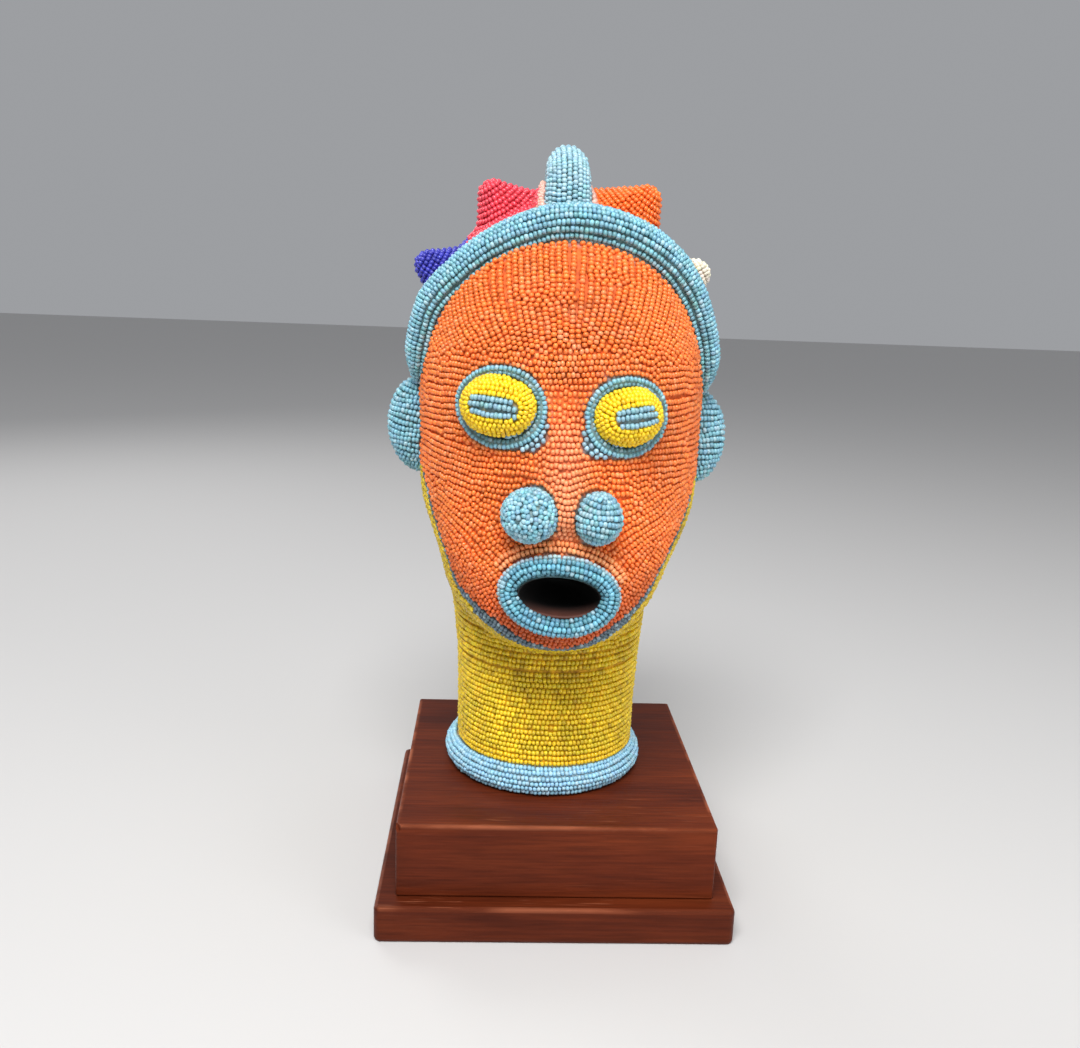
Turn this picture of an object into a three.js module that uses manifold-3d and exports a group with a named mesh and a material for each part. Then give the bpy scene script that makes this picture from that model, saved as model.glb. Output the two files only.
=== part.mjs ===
// A bead-covered head on a two-tier wooden plinth, in millimetres.
// The face looks toward -Y, +Z is up, and the origin is the middle of the plinth's underside.
import * as THREE from "three";
import { mergeVertices } from "three/addons/utils/BufferGeometryUtils.js";
import Module from "manifold-3d";

const wasm = await Module();
wasm.setup();

const CLEARANCE = 0.3;

// Plinth: a low square slab with a smaller square block on it
const SLAB_SIDE = 150;
const SLAB_HEIGHT = 16;
const SLAB_CORNER = 3;
const SLAB_EASE = 1.6;
const BLOCK_SIDE = 133.5;
const BLOCK_HEIGHT = 32.4;
const BLOCK_CORNER = 1.2;
const BLOCK_EASE = 0.7;
const CHIP_SIZE = 2.6;
const BLOCK_BOTTOM = SLAB_HEIGHT + CLEARANCE;
const BLOCK_TOP = BLOCK_BOTTOM + BLOCK_HEIGHT;
const HEAD_BOTTOM = BLOCK_TOP + CLEARANCE;

// Skull: an ellipsoid above SKULL_Z, deeper in front of SKULL_Y than behind it
const SKULL_X = -2.7;
const SKULL_Y = 8;
const SKULL_Z = 228;
const SKULL_HALF_WIDTH = 62;
const SKULL_FRONT = 72;
const SKULL_BACK = 60;
const SKULL_RISE = 77;

// Neck, jaw and cheeks below it: height, middle, half width, front and back of each level
const STATIONS = [
  [HEAD_BOTTOM, -3.4, 40.2, -38, 44],
  [75, -3.6, 40.4, -38, 44.5],
  [100, -3.4, 41.2, -38.5, 45],
  [109, -3.6, 43, -39.5, 46],
  [115, -4, 45, -41.5, 47],
  [120.5, -4, 46.9, -52, 49],
  [126, -3.6, 48.6, -62.5, 50.5],
  [138, -3, 52, -66, 53.5],
  [150, -2.5, 55, -66, 56.5],
  [162, -2.2, 57.5, -64, 59],
  [175, -2.1, 59.6, -62.5, 61.5],
  [195, -2.4, 61.2, -62, 64.5],
  [SKULL_Z, SKULL_X, SKULL_HALF_WIDTH, SKULL_Y - SKULL_FRONT, SKULL_Y + SKULL_BACK],
];
const NECK_MIDDLE_Y = 3;
const SIDE_LEVEL = 165;
const FRONT_SQUARENESS = 2.2;

// The jaw's lower edge climbs toward the ears: the levels bend up at the sides, fully from LOW to HIGH
const JAW = { climb: 20, foot: 98, low: 116, high: 128, top: 186 };

// Swellings and hollows of the face: the hollow under the brow, the nose and the muzzle round the mouth
const BRIDGE = { x: -4, z: 226, depth: 4, halfWidth: 12, halfHeight: 10 };
const NOSE = { x: -3, rise: 10.5, halfWidth: 9, top: 226, tip: 182, base: 166 };
const MUZZLE = { x: -3.7, z: 149, rise: 9.5, halfWidth: 24, halfHeight: 17 };

// Foot ring round the neck
const FOOT = { x: -4.1, y: 3, radius: 40.4, swell: 4.9, height: 11.8 };

// Headband: a roll that runs over the brow from ear to ear
const BAND = { frontY: -36, sideY: -13, sweep: 93, radius: 8, sideRadius: 6.4, tipLength: 16 };
// How far the roll is lifted off the skull at each angle out from the middle
const BAND_LIFTS = {
  left: [[0, 10, 17, 30, 42, 52, 58, 66, 76, 93], [1, 0.4, -0.4, -0.9, -0.6, 0.2, 1.5, 2.9, 1.8, 1]],
  right: [[0, 20, 45, 70, 93], [1, 1.7, 2.8, 1.7, 1]],
};

// Crest: a thick comb that rises behind the band and runs down the back. Its edge is given by an
// angle from the top toward the back, and a distance, both round a point inside the skull
const CREST = { x: -4, y: 5, z: 255, depth: 14 };
const CREST_EDGE = [
  [-53.4, 48.6],
  [-41, 59.5],
  [-35.3, 64.9],
  [-28.5, 68.6],
  [-19.4, 69.4],
  [-9.4, 67.8],
  [0, 65.6],
  [13.8, 62.8],
  [33.4, 60.1],
  [55.2, 59.8],
  [80.7, 61.8],
  [96.2, 64.4],
];
const CREST_HALF_WIDTHS = [[0, 0.12, 0.25, 0.5, 1], [9.4, 9, 8, 7.4, 4.8]];

// The crest's foot spreads out onto the skull: distance out from its flanks and height over the skull
const CREST_FOOT = { from: -45, to: 88, sinksFrom: 60, section: [[-1, 5.5], [2.6, 2], [6.5, -0.8], [0, -5]] };

// Knobs on the skull, cones with round tips that spread toward the crest: side angle from the top
// and depth of each one's foot, height, and how much wider it is on the crest's side
const KNOB = { slope: 58, tipRadius: 6.5, sunk: 6 };
const KNOB_PLACES = [
  [-26.5, -2, 13.2, 1.6],
  [27.5, -2, 14.4, 2],
  [-57, 5, 12.8, 1.1],
  [56.5, 5, 12.4, 1.1],
  [-38, 42, 12.8, 1.3],
  [38, 42, 12.8, 1.3],
  [-100, 46, 12.4, 1],
  [100, 46, 12.4, 1],
];

// Features of the face: middle x, y, z, then half sizes along x, y, z
const LEFT_EAR = { at: [-62.5, -4, 206], half: [14.3, 9.5, 21], lean: 6 };
const RIGHT_EAR = { at: [57, -4, 204.5], half: [13.4, 9.5, 20.5], lean: -6 };
const LEFT_EYE = { x: -29.6, z: 220.8, halfWidth: 15.1, halfHeight: 12.1, bulge: 8.6 };
const RIGHT_EYE = { x: 20.5, z: 218.6, halfWidth: 13.8, halfHeight: 11.6, bulge: 8.6 };
const LEFT_RING = { x: -28.7, z: 220.2, halfWidth: 15.8, halfHeight: 14 };
const RIGHT_RING = { x: 20.4, z: 218, halfWidth: 14.9, halfHeight: 13.7 };
const EYE_RING_RADIUS = 2.4;
const LEFT_NOSTRIL = { at: [-16.3, -67, 180.2], half: [10.9, 11.5, 10.4] };
const RIGHT_NOSTRIL = { at: [10.2, -67, 179.7], half: [9.2, 11, 10.2] };
const LIPS = { x: -3.7, z: 149.2, halfWidth: 20.4, halfHeight: 12.3, radius: 3.9, roll: -4.5 };
const MOUTH = { at: [-3.5, -76, 148.2], half: [16.8, 34, 8.4], roll: -4.5 };

// Fineness of the facets
const TURNS_FRONT = 26;
const TURNS_BACK = 14;
const DOME_LEVELS = 9;
const SIDES = 6;

const degrees = THREE.MathUtils.degToRad;

// A smooth curve through the points (xs, ys) that never overshoots them
function curveThrough(xs, ys, endSlope) {
  const rise = xs.slice(1).map((x, i) => (ys[i + 1] - ys[i]) / (x - xs[i]));
  const slope = xs.map((_, i) => {
    if (i === 0) return rise[0];
    if (i === xs.length - 1) return endSlope;
    return rise[i - 1] * rise[i] <= 0 ? 0 : (2 * rise[i - 1] * rise[i]) / (rise[i - 1] + rise[i]);
  });
  return (x) => {
    const at = xs.findIndex((next) => x <= next);
    const i = at < 0 ? xs.length - 2 : Math.max(at - 1, 0);
    const step = xs[i + 1] - xs[i];
    const t = THREE.MathUtils.clamp((x - xs[i]) / step, 0, 1);
    const rest = 1 - t;
    return (1 + 2 * t) * rest * rest * ys[i] + t * rest * rest * step * slope[i]
      + t * t * (3 - 2 * t) * ys[i + 1] - t * t * rest * step * slope[i + 1];
  };
}

const heights = STATIONS.map((row) => row[0]);
const middleX = curveThrough(heights, STATIONS.map((row) => row[1]), 0);
const halfWidth = curveThrough(heights, STATIONS.map((row) => row[2]), 0);
const frontY = curveThrough(heights, STATIONS.map((row) => row[3]), 0);
const backY = curveThrough(heights, STATIONS.map((row) => row[4]), 0);

// The level outline of the head at height z: its middle, half width, front depth and back depth
function levelAt(z) {
  if (z >= SKULL_Z) {
    const k = Math.sqrt(Math.max(1 - ((z - SKULL_Z) / SKULL_RISE) ** 2, 0));
    return { x: SKULL_X, y: SKULL_Y, half: SKULL_HALF_WIDTH * k, front: SKULL_FRONT * k, back: SKULL_BACK * k };
  }
  const share = THREE.MathUtils.smoothstep(z, SIDE_LEVEL, SKULL_Z);
  const y = THREE.MathUtils.lerp(NECK_MIDDLE_Y, SKULL_Y, share);
  return { x: middleX(z), y, half: halfWidth(z), front: y - frontY(z), back: backY(z) - y };
}

// A soft round hill, 1 at its middle
const hill = (across, up) => Math.exp(-across * across - up * up);

// How far the face stands forward of its plain outline at x and z
function relief(x, z) {
  const { smoothstep } = THREE.MathUtils;
  const noseLine = smoothstep(z, NOSE.base, NOSE.tip) * (1 - smoothstep(z, NOSE.tip, NOSE.top));
  return NOSE.rise * noseLine * hill((x - NOSE.x) / NOSE.halfWidth, 0)
    + MUZZLE.rise * hill((x - MUZZLE.x) / MUZZLE.halfWidth, (z - MUZZLE.z) / MUZZLE.halfHeight)
    - BRIDGE.depth * hill((x - BRIDGE.x) / BRIDGE.halfWidth, (z - BRIDGE.z) / BRIDGE.halfHeight);
}

// How far a level bends up at the sides, where side is the sine of the angle from the front
function jawClimb(side, z) {
  const { smoothstep } = THREE.MathUtils;
  return JAW.climb * side * side * (smoothstep(z, JAW.foot, JAW.low) - smoothstep(z, JAW.high, JAW.top));
}

// A point of the head's skin, at an angle from the front toward +X and on the level that is z in front
function skinPoint(angle, z) {
  const level = levelAt(z);
  const side = Math.sin(angle);
  const ahead = Math.cos(angle);
  const power = ahead > 0 ? 2 / FRONT_SQUARENESS : 1;
  const x = level.x + level.half * Math.sign(side) * Math.abs(side) ** power;
  const height = z + jawClimb(side, z);
  if (ahead <= 0) return [x, level.y - level.back * ahead, height];
  return [x, level.y - level.front * ahead ** power - relief(x, height), height];
}

// The depth of the face at x and z
function faceY(x, z) {
  let level = levelAt(z);
  let across = 0;
  for (let start = z, step = 0; step < 4; step++) {
    across = Math.min(Math.abs((x - level.x) / level.half), 1);
    start = z - jawClimb(across ** (FRONT_SQUARENESS / 2), start);
    level = levelAt(start);
  }
  const ahead = (1 - across ** FRONT_SQUARENESS) ** (1 / FRONT_SQUARENESS);
  return level.y - level.front * ahead - relief(x, z);
}

// A point of the bare skull at a side angle from the top and a depth y, and the direction it faces
function skullPoint(sideAngle, y) {
  const depth = y < SKULL_Y ? SKULL_FRONT : SKULL_BACK;
  const k = Math.sqrt(1 - ((y - SKULL_Y) / depth) ** 2);
  const x = SKULL_HALF_WIDTH * k * Math.sin(degrees(sideAngle));
  const z = SKULL_RISE * k * Math.cos(degrees(sideAngle));
  const facing = new THREE.Vector3(x / SKULL_HALF_WIDTH ** 2, (y - SKULL_Y) / depth ** 2, z / SKULL_RISE ** 2);
  return { at: new THREE.Vector3(SKULL_X + x, y, SKULL_Z + z), facing: facing.normalize() };
}

// A closed mesh as a solid
function toSolid(geometry) {
  geometry.deleteAttribute("normal");
  geometry.deleteAttribute("uv");
  const merged = mergeVertices(geometry);
  const corners = [];
  for (let i = 0; i < merged.index.count; i += 3) {
    const [a, b, c] = [0, 1, 2].map((k) => merged.index.getX(i + k));
    if (a !== b && b !== c && c !== a) corners.push(a, b, c);
  }
  return new wasm.Manifold(new wasm.Mesh({
    numProp: 3,
    vertProperties: new Float32Array(merged.attributes.position.array),
    triVerts: new Uint32Array(corners),
  }));
}

// A solid as a mesh
function toGeometry(solid) {
  const mesh = solid.getMesh();
  const geometry = new THREE.BufferGeometry();
  geometry.setAttribute("position", new THREE.BufferAttribute(new Float32Array(mesh.vertProperties), 3));
  geometry.setIndex(new THREE.BufferAttribute(new Uint32Array(mesh.triVerts), 1));
  geometry.computeVertexNormals();
  return geometry;
}

// A lathe whose vertices are then placed: turn i of turns, level j of levels, with a pole at each end
function placedLathe(turns, levels, place) {
  const profile = Array.from({ length: levels }, (_, j) => new THREE.Vector2(j % (levels - 1) ? 1 : 0, j));
  const geometry = new THREE.LatheGeometry(profile, turns);
  for (let i = 0; i <= turns; i++) {
    for (let j = 0; j < levels; j++) {
      const pole = j % (levels - 1) === 0;
      geometry.attributes.position.setXYZ(i * levels + j, ...place(pole ? 0 : i % turns, j));
    }
  }
  return toSolid(geometry);
}

// An ellipsoid, turned in the picture plane (roll), about the vertical (turn) and toward the front (lean)
function ellipsoid({ at, half, roll = 0, turn = 0, lean = 0 }, around = 14, up = 10) {
  const geometry = mergeVertices(withoutShading(new THREE.SphereGeometry(1, around, up)));
  const rotation = new THREE.Euler(degrees(lean), degrees(-roll), degrees(turn), "ZXY");
  geometry.rotateX(Math.PI / 2);
  geometry.applyMatrix4(new THREE.Matrix4().compose(
    new THREE.Vector3(...at),
    new THREE.Quaternion().setFromEuler(rotation),
    new THREE.Vector3(...half),
  ));
  return toSolid(geometry);
}

function withoutShading(geometry) {
  geometry.deleteAttribute("normal");
  geometry.deleteAttribute("uv");
  return geometry;
}

// A tube with round ends along path(t), t from 0 to 1, whose section faces frame(t)
function placedTube(path, radius, outward, steps, sides) {
  const levels = steps + 3;
  return placedLathe(sides, levels, (i, j) => {
    const t = THREE.MathUtils.clamp((j - 1) / steps, 0, 1);
    const at = path(t);
    const ahead = path(Math.min(t + 0.01, 1)).sub(path(Math.max(t - 0.01, 0))).normalize();
    const r = radius(t);
    if (j === 0) return at.addScaledVector(ahead, -r / 2).toArray();
    if (j === levels - 1) return at.addScaledVector(ahead, r / 2).toArray();
    const across = outward(t).clone().addScaledVector(ahead, -outward(t).dot(ahead)).normalize();
    const along = new THREE.Vector3().crossVectors(ahead, across);
    const turn = (2 * Math.PI * i) / sides;
    return at.addScaledVector(across, r * Math.cos(turn)).addScaledVector(along, r * Math.sin(turn)).toArray();
  });
}

// A ring that lies on the face round an upright ellipse
function faceRing({ x, z, halfWidth: a, halfHeight: b, roll = 0 }, radius, depthAt, around) {
  const geometry = new THREE.TorusGeometry(1, 0.3, SIDES, around);
  const cosRoll = Math.cos(degrees(roll));
  const sinRoll = Math.sin(degrees(roll));
  for (let j = 0; j <= SIDES; j++) {
    for (let i = 0; i <= around; i++) {
      const u = (2 * Math.PI * (i % around)) / around;
      const v = (2 * Math.PI * (j % SIDES)) / SIDES;
      const out = new THREE.Vector2(b * Math.cos(u), a * Math.sin(u)).normalize();
      const lineX = a * Math.cos(u);
      const lineZ = b * Math.sin(u);
      const px = lineX + out.x * radius * Math.cos(v);
      const pz = lineZ + out.y * radius * Math.cos(v);
      const depth = depthAt(x + lineX, z + lineZ) - radius * Math.sin(v);
      geometry.attributes.position.setXYZ(
        j * (around + 1) + i,
        x + px * cosRoll - pz * sinRoll,
        depth,
        z + px * sinRoll + pz * cosRoll,
      );
    }
  }
  return toSolid(geometry);
}

// The angle of each turn of the skin: closest together along the nose
function angleOfTurn(i) {
  const half = TURNS_FRONT / 2;
  if (i <= half) return (Math.PI / 2) * (i / half) ** 1.3;
  if (i <= half + TURNS_BACK) return Math.PI / 2 + Math.PI * ((i - half) / TURNS_BACK);
  return 2 * Math.PI - angleOfTurn(TURNS_FRONT + TURNS_BACK - i);
}

// The levels that carry the skin: close together at the chin's underside, even on the dome
function skinLevels() {
  const neck = [HEAD_BOTTOM, 66, 84, 100, 109];
  const chin = [114, 117, 120, 123, 126, 130];
  const cheeks = Array.from({ length: 12 }, (_, i) => 137 + (i * (SKULL_Z - 137)) / 12);
  const dome = Array.from({ length: DOME_LEVELS }, (_, i) =>
    SKULL_Z + SKULL_RISE * Math.sin((Math.PI / 2) * (i / DOME_LEVELS)));
  return [...neck, ...chin, ...cheeks, ...dome];
}

function skin() {
  const levels = skinLevels();
  const turns = TURNS_FRONT + TURNS_BACK;
  return placedLathe(turns, levels.length + 2, (i, j) => {
    if (j === 0) return [SKULL_X, NECK_MIDDLE_Y, HEAD_BOTTOM];
    if (j === levels.length + 1) return [SKULL_X, SKULL_Y, SKULL_Z + SKULL_RISE];
    return skinPoint(angleOfTurn(i), levels[j - 1]);
  });
}

function footRing() {
  const swellAt = (share) => FOOT.radius + FOOT.swell * Math.sin(Math.PI * (0.12 + 0.8 * share)) ** 0.7;
  const steps = 4;
  const profile = [new THREE.Vector2(0, 0)];
  for (let i = 0; i <= steps; i++) {
    profile.push(new THREE.Vector2(swellAt(i / steps), FOOT.height * (i / steps)));
  }
  profile.push(new THREE.Vector2(0, FOOT.height));
  const geometry = new THREE.LatheGeometry(profile, 36);
  geometry.rotateX(Math.PI / 2);
  geometry.translate(FOOT.x, FOOT.y, HEAD_BOTTOM);
  return toSolid(geometry);
}

function headband() {
  const place = (t) => {
    const side = BAND.sweep * (2 * t - 1);
    const turned = 1 - Math.cos(degrees(side));
    return skullPoint(side, BAND.frontY + (BAND.sideY - BAND.frontY) * turned);
  };
  const leftLift = curveThrough(...BAND_LIFTS.left, 0);
  const rightLift = curveThrough(...BAND_LIFTS.right, 0);
  const path = (t) => {
    const { at, facing } = place(t);
    const lift = t < 0.5 ? leftLift : rightLift;
    return at.addScaledVector(facing, lift(BAND.sweep * Math.abs(2 * t - 1)));
  };
  const radius = (t) => {
    const side = Math.abs(2 * t - 1);
    const fromTip = (1 - side) * degrees(BAND.sweep) * SKULL_HALF_WIDTH;
    const tip = Math.sin((Math.PI / 2) * Math.min(fromTip / BAND.tipLength + 0.12, 1));
    return tip * THREE.MathUtils.lerp(BAND.radius, BAND.sideRadius, side ** 2);
  };
  return placedTube(path, radius, (t) => place(t).facing, 34, 8);
}

function crest() {
  const { lerp, clamp } = THREE.MathUtils;
  const edge = curveThrough(CREST_EDGE.map((row) => row[0]), CREST_EDGE.map((row) => row[1]), 0.2);
  const widthAt = curveThrough(...CREST_HALF_WIDTHS, 0);
  const steps = 22;
  const sides = 8;
  return placedLathe(sides, steps + 3, (i, j) => {
    const share = clamp((j - 1) / steps, 0, 1);
    const angle = lerp(CREST_EDGE[0][0], CREST_EDGE.at(-1)[0], share);
    const width = widthAt(share);
    const end = Number(j === steps + 2) - Number(j === 0);
    const across = end ? 0 : Math.cos((2 * Math.PI * i) / sides);
    const inward = end ? 0 : Math.sin((2 * Math.PI * i) / sides);
    const reach = edge(angle) - width - inward * (inward < 0 ? width : CREST.depth);
    const turned = degrees(angle + end * 2);
    return [CREST.x + width * across, CREST.y + reach * Math.sin(turned), CREST.z + reach * Math.cos(turned)];
  });
}

// How far the skull reaches from the crest's middle, at an angle from the top toward the back
function skullReach(angle) {
  const ahead = new THREE.Vector2(Math.sin(degrees(angle)), Math.cos(degrees(angle)));
  let near = 0;
  let far = 100;
  for (let step = 0; step < 20; step++) {
    const reach = (near + far) / 2;
    const y = CREST.y + reach * ahead.x - SKULL_Y;
    const z = Math.max(CREST.z + reach * ahead.y - SKULL_Z, 0);
    const inside = (y / (y < 0 ? SKULL_FRONT : SKULL_BACK)) ** 2 + (z / SKULL_RISE) ** 2 < 1;
    if (inside) near = reach;
    else far = reach;
  }
  return near;
}

function crestFoot() {
  const { lerp, clamp } = THREE.MathUtils;
  const widthAt = curveThrough(...CREST_HALF_WIDTHS, 0);
  const { from, to, sinksFrom, section } = CREST_FOOT;
  const steps = 16;
  const outline = [...section.map(([out, up]) => [1, out, up]), ...section.map(([out, up]) => [-1, out, up]).reverse()];
  return placedLathe(outline.length, steps + 3, (i, j) => {
    const angle = lerp(from, to, clamp((j - 1) / steps, 0, 1));
    const end = j === 0 || j === steps + 2;
    const width = widthAt((angle - CREST_EDGE[0][0]) / (CREST_EDGE.at(-1)[0] - CREST_EDGE[0][0]));
    const [side, out, up] = outline[i];
    const sunk = 6 * THREE.MathUtils.smoothstep(angle, sinksFrom, to);
    const reach = skullReach(angle) + (end ? -2 : up) - sunk;
    const across = end ? 0 : side * (width + out);
    const turned = degrees(angle);
    return [CREST.x + across, CREST.y + reach * Math.sin(turned), CREST.z + reach * Math.cos(turned)];
  });
}

function knob([sideAngle, y, height, spread]) {
  const { at, facing } = skullPoint(sideAngle, y);
  const steps = 2;
  const slope = degrees(KNOB.slope);
  const tipMiddle = height - KNOB.tipRadius;
  const meetsTip = new THREE.Vector2(Math.sin(slope), Math.cos(slope)).multiplyScalar(KNOB.tipRadius);
  const footRadius = meetsTip.x + (tipMiddle + meetsTip.y + KNOB.sunk) / Math.tan(slope);
  const profile = [new THREE.Vector2(0, -KNOB.sunk), new THREE.Vector2(footRadius, -KNOB.sunk)];
  for (let i = steps; i >= 0; i--) {
    const a = (slope * i) / steps;
    profile.push(new THREE.Vector2(KNOB.tipRadius * Math.sin(a), tipMiddle + KNOB.tipRadius * Math.cos(a)));
  }
  const geometry = new THREE.LatheGeometry(profile, 14);
  geometry.applyQuaternion(new THREE.Quaternion().setFromUnitVectors(new THREE.Vector3(0, 1, 0), facing));

  const crestSide = new THREE.Vector3(-Math.sign(sideAngle), 0, 0).projectOnPlane(facing).normalize();
  const corners = geometry.attributes.position;
  for (let i = 0; i < corners.count; i++) {
    const corner = new THREE.Vector3().fromBufferAttribute(corners, i);
    const out = corner.clone().projectOnPlane(facing);
    const reach = out.length();
    if (reach > meetsTip.x + 0.01) {
      const inner = Math.max(out.dot(crestSide) / reach, 0) ** 2;
      corner.addScaledVector(out, ((reach - meetsTip.x) / reach) * (spread - 1) * inner);
    }
    corners.setXYZ(i, ...corner.add(at));
  }
  return toSolid(geometry);
}

function eye({ x, z, halfWidth: a, halfHeight: b, bulge }) {
  const slope = (faceY(x + 4, z) - faceY(x - 4, z)) / 8;
  const turn = THREE.MathUtils.radToDeg(Math.atan(slope)) * 0.8;
  return ellipsoid({ at: [x, faceY(x, z), z], half: [a, bulge, b], turn });
}

function beadedHead() {
  const parts = [
    skin(),
    footRing(),
    headband(),
    crest(),
    crestFoot(),
    ...KNOB_PLACES.map(knob),
    ellipsoid(LEFT_EAR),
    ellipsoid(RIGHT_EAR),
    ellipsoid(LEFT_NOSTRIL),
    ellipsoid(RIGHT_NOSTRIL),
    eye(LEFT_EYE),
    eye(RIGHT_EYE),
    faceRing(LEFT_RING, EYE_RING_RADIUS, faceY, 24),
    faceRing(RIGHT_RING, EYE_RING_RADIUS, faceY, 24),
    faceRing(LIPS, LIPS.radius, faceY, 28),
  ];
  const whole = parts.reduce((sum, part) => sum.add(part));
  return whole.subtract(ellipsoid(MOUTH, 20, 12));
}

// A square block with rounded upright corners and eased edges, standing at height z
function block(side, height, corner, ease, z) {
  const reach = side / 2 - corner;
  const shape = new THREE.Shape();
  shape.absarc(reach, reach, corner, 0, Math.PI / 2);
  shape.absarc(-reach, reach, corner, Math.PI / 2, Math.PI);
  shape.absarc(-reach, -reach, corner, Math.PI, (3 * Math.PI) / 2);
  shape.absarc(reach, -reach, corner, (3 * Math.PI) / 2, 2 * Math.PI);
  const geometry = new THREE.ExtrudeGeometry(shape, {
    depth: height - 2 * ease,
    curveSegments: 3,
    bevelThickness: ease,
    bevelSize: ease,
    bevelOffset: -ease,
    bevelSegments: 2,
  });
  geometry.translate(0, 0, z + ease);
  return toSolid(geometry);
}

// The upper block has lost a flake from its front left corner
function upperBlock() {
  const flake = new THREE.BoxGeometry(CHIP_SIZE * 2, CHIP_SIZE * 2, CHIP_SIZE * 2);
  flake.rotateX(degrees(40));
  flake.rotateZ(degrees(35));
  flake.translate(-BLOCK_SIDE / 2 - 0.6, -BLOCK_SIDE / 2 - 0.6, BLOCK_TOP + 0.6);
  return block(BLOCK_SIDE, BLOCK_HEIGHT, BLOCK_CORNER, BLOCK_EASE, BLOCK_BOTTOM).subtract(toSolid(flake));
}

function piece(name, solid, color, roughness) {
  const material = new THREE.MeshStandardMaterial({ color, roughness, metalness: 0 });
  const mesh = new THREE.Mesh(toGeometry(solid), material);
  mesh.name = name;
  return mesh;
}

const head = new THREE.Group();
head.add(piece("plinth_slab", block(SLAB_SIDE, SLAB_HEIGHT, SLAB_CORNER, SLAB_EASE, 0), 0x5a241a, 0.45));
head.add(piece("plinth_block", upperBlock(), 0x6b2d1f, 0.45));
head.add(piece("beaded_head", beadedHead(), 0xe8742f, 0.35));

export default head;
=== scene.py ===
"""A head covered in strung glass beads, on a two-tier wooden plinth.

Lengths are in millimetres, and in metres in meshes, materials and lights. The face looks toward -Y
and +Z is up.
"""
import math
from types import SimpleNamespace as Sizes

import bmesh
import bpy
import numpy as np
from mathutils import Matrix, Vector


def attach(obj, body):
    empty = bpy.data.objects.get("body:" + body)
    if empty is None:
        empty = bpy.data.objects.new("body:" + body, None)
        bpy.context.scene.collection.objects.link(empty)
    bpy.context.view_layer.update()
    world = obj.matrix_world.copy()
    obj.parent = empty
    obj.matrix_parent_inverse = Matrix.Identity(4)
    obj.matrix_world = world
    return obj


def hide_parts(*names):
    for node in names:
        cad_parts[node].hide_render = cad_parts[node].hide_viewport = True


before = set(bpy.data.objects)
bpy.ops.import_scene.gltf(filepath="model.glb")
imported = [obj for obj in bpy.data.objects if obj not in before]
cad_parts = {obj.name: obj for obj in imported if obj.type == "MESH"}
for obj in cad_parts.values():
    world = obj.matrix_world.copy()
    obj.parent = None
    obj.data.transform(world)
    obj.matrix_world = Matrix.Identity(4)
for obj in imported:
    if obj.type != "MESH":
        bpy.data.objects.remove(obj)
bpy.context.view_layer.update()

MM = 0.001
SEED = 7
rng = np.random.default_rng(SEED)

# The head's outline, with the rough reach of the skull and the sides from their middle
HEAD_BOTTOM = 49.0
SKULL = Sizes(x=-2.7, y=8.0, z=228.0, half=62.0, front=72.0, back=60.0, rise=77.0)
SKULL_MIDDLE = np.array([SKULL.x, SKULL.y, SKULL.z])
SKULL_REACH, SIDE_REACH = 70, 55
# Height, middle x, half width, front y and back y
STATIONS = np.array([
    [49, -3.4, 40.2, -38, 44],
    [75, -3.6, 40.4, -38, 44.5],
    [100, -3.4, 41.2, -38.5, 45],
    [109, -3.6, 43, -39.5, 46],
    [115, -4, 45, -41.5, 47],
    [120.5, -4, 46.9, -52, 49],
    [126, -3.6, 48.6, -62.5, 50.5],
    [138, -3, 52, -66, 53.5],
    [150, -2.5, 55, -66, 56.5],
    [162, -2.2, 57.5, -64, 59],
    [175, -2.1, 59.6, -62.5, 61.5],
    [195, -2.4, 61.2, -62, 64.5],
    [228, -2.7, 62, -64, 68],
])
NECK_MIDDLE_Y = 3.0
FACE_X = -3.5
SIDE_LEVEL = 165.0
FRONT_SQUARENESS = 2.2
JAW = Sizes(climb=20, foot=98, low=116, high=128, top=186)
BRIDGE = Sizes(x=-4, z=226, depth=4, half_width=12, half_height=10)
NOSE = Sizes(x=-3, rise=10.5, half_width=9, top=226, tip=182, base=166)
MUZZLE = Sizes(x=-3.7, z=149, rise=9.5, half_width=24, half_height=17)
FOOT = Sizes(x=-4.1, y=3, radius=40.4, swell=4.9, height=11.8)
BAND = Sizes(front_y=-36, side_y=-13, sweep=93, radius=8, side_radius=6.4, tip=16)
BAND_LIFTS = Sizes(
    left=([0, 10, 17, 30, 42, 52, 58, 66, 76, 93], [1, 0.4, -0.4, -0.9, -0.6, 0.2, 1.5, 2.9, 1.8, 1]),
    right=([0, 20, 45, 70, 93], [1, 1.7, 2.8, 1.7, 1]),
)
CREST = Sizes(x=-4, y=5, z=255, depth=14)
# Angle from upright toward the back, and reach
CREST_EDGE = np.array([
    [-53.4, 48.6], [-41, 59.5], [-35.3, 64.9], [-28.5, 68.6], [-19.4, 69.4], [-9.4, 67.8],
    [0, 65.6], [13.8, 62.8], [33.4, 60.1], [55.2, 59.8], [80.7, 61.8], [96.2, 64.4],
])
CREST_HALF_WIDTHS = ([0, 0.12, 0.25, 0.5, 1], [9.4, 9, 8, 7.4, 4.8])
CREST_FOOT = Sizes(sinks_from=60, to=88, out=[-1, 0.8, 2.6, 4.4, 6.5], up=[5.5, 3.5, 2.0, 0.8, 0])
KNOB = Sizes(slope=math.radians(58), tip=6.5)
# Angle to the side, y, height, and how much the side toward the crest is drawn out
KNOB_PLACES = [
    (-26.5, -2, 13.2, 1.6), (27.5, -2, 14.4, 2), (-57, 5, 12.8, 1.1), (56.5, 5, 12.4, 1.1),
    (-38, 42, 12.8, 1.3), (38, 42, 12.8, 1.3), (-100, 46, 12.4, 1), (100, 46, 12.4, 1),
]
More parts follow.
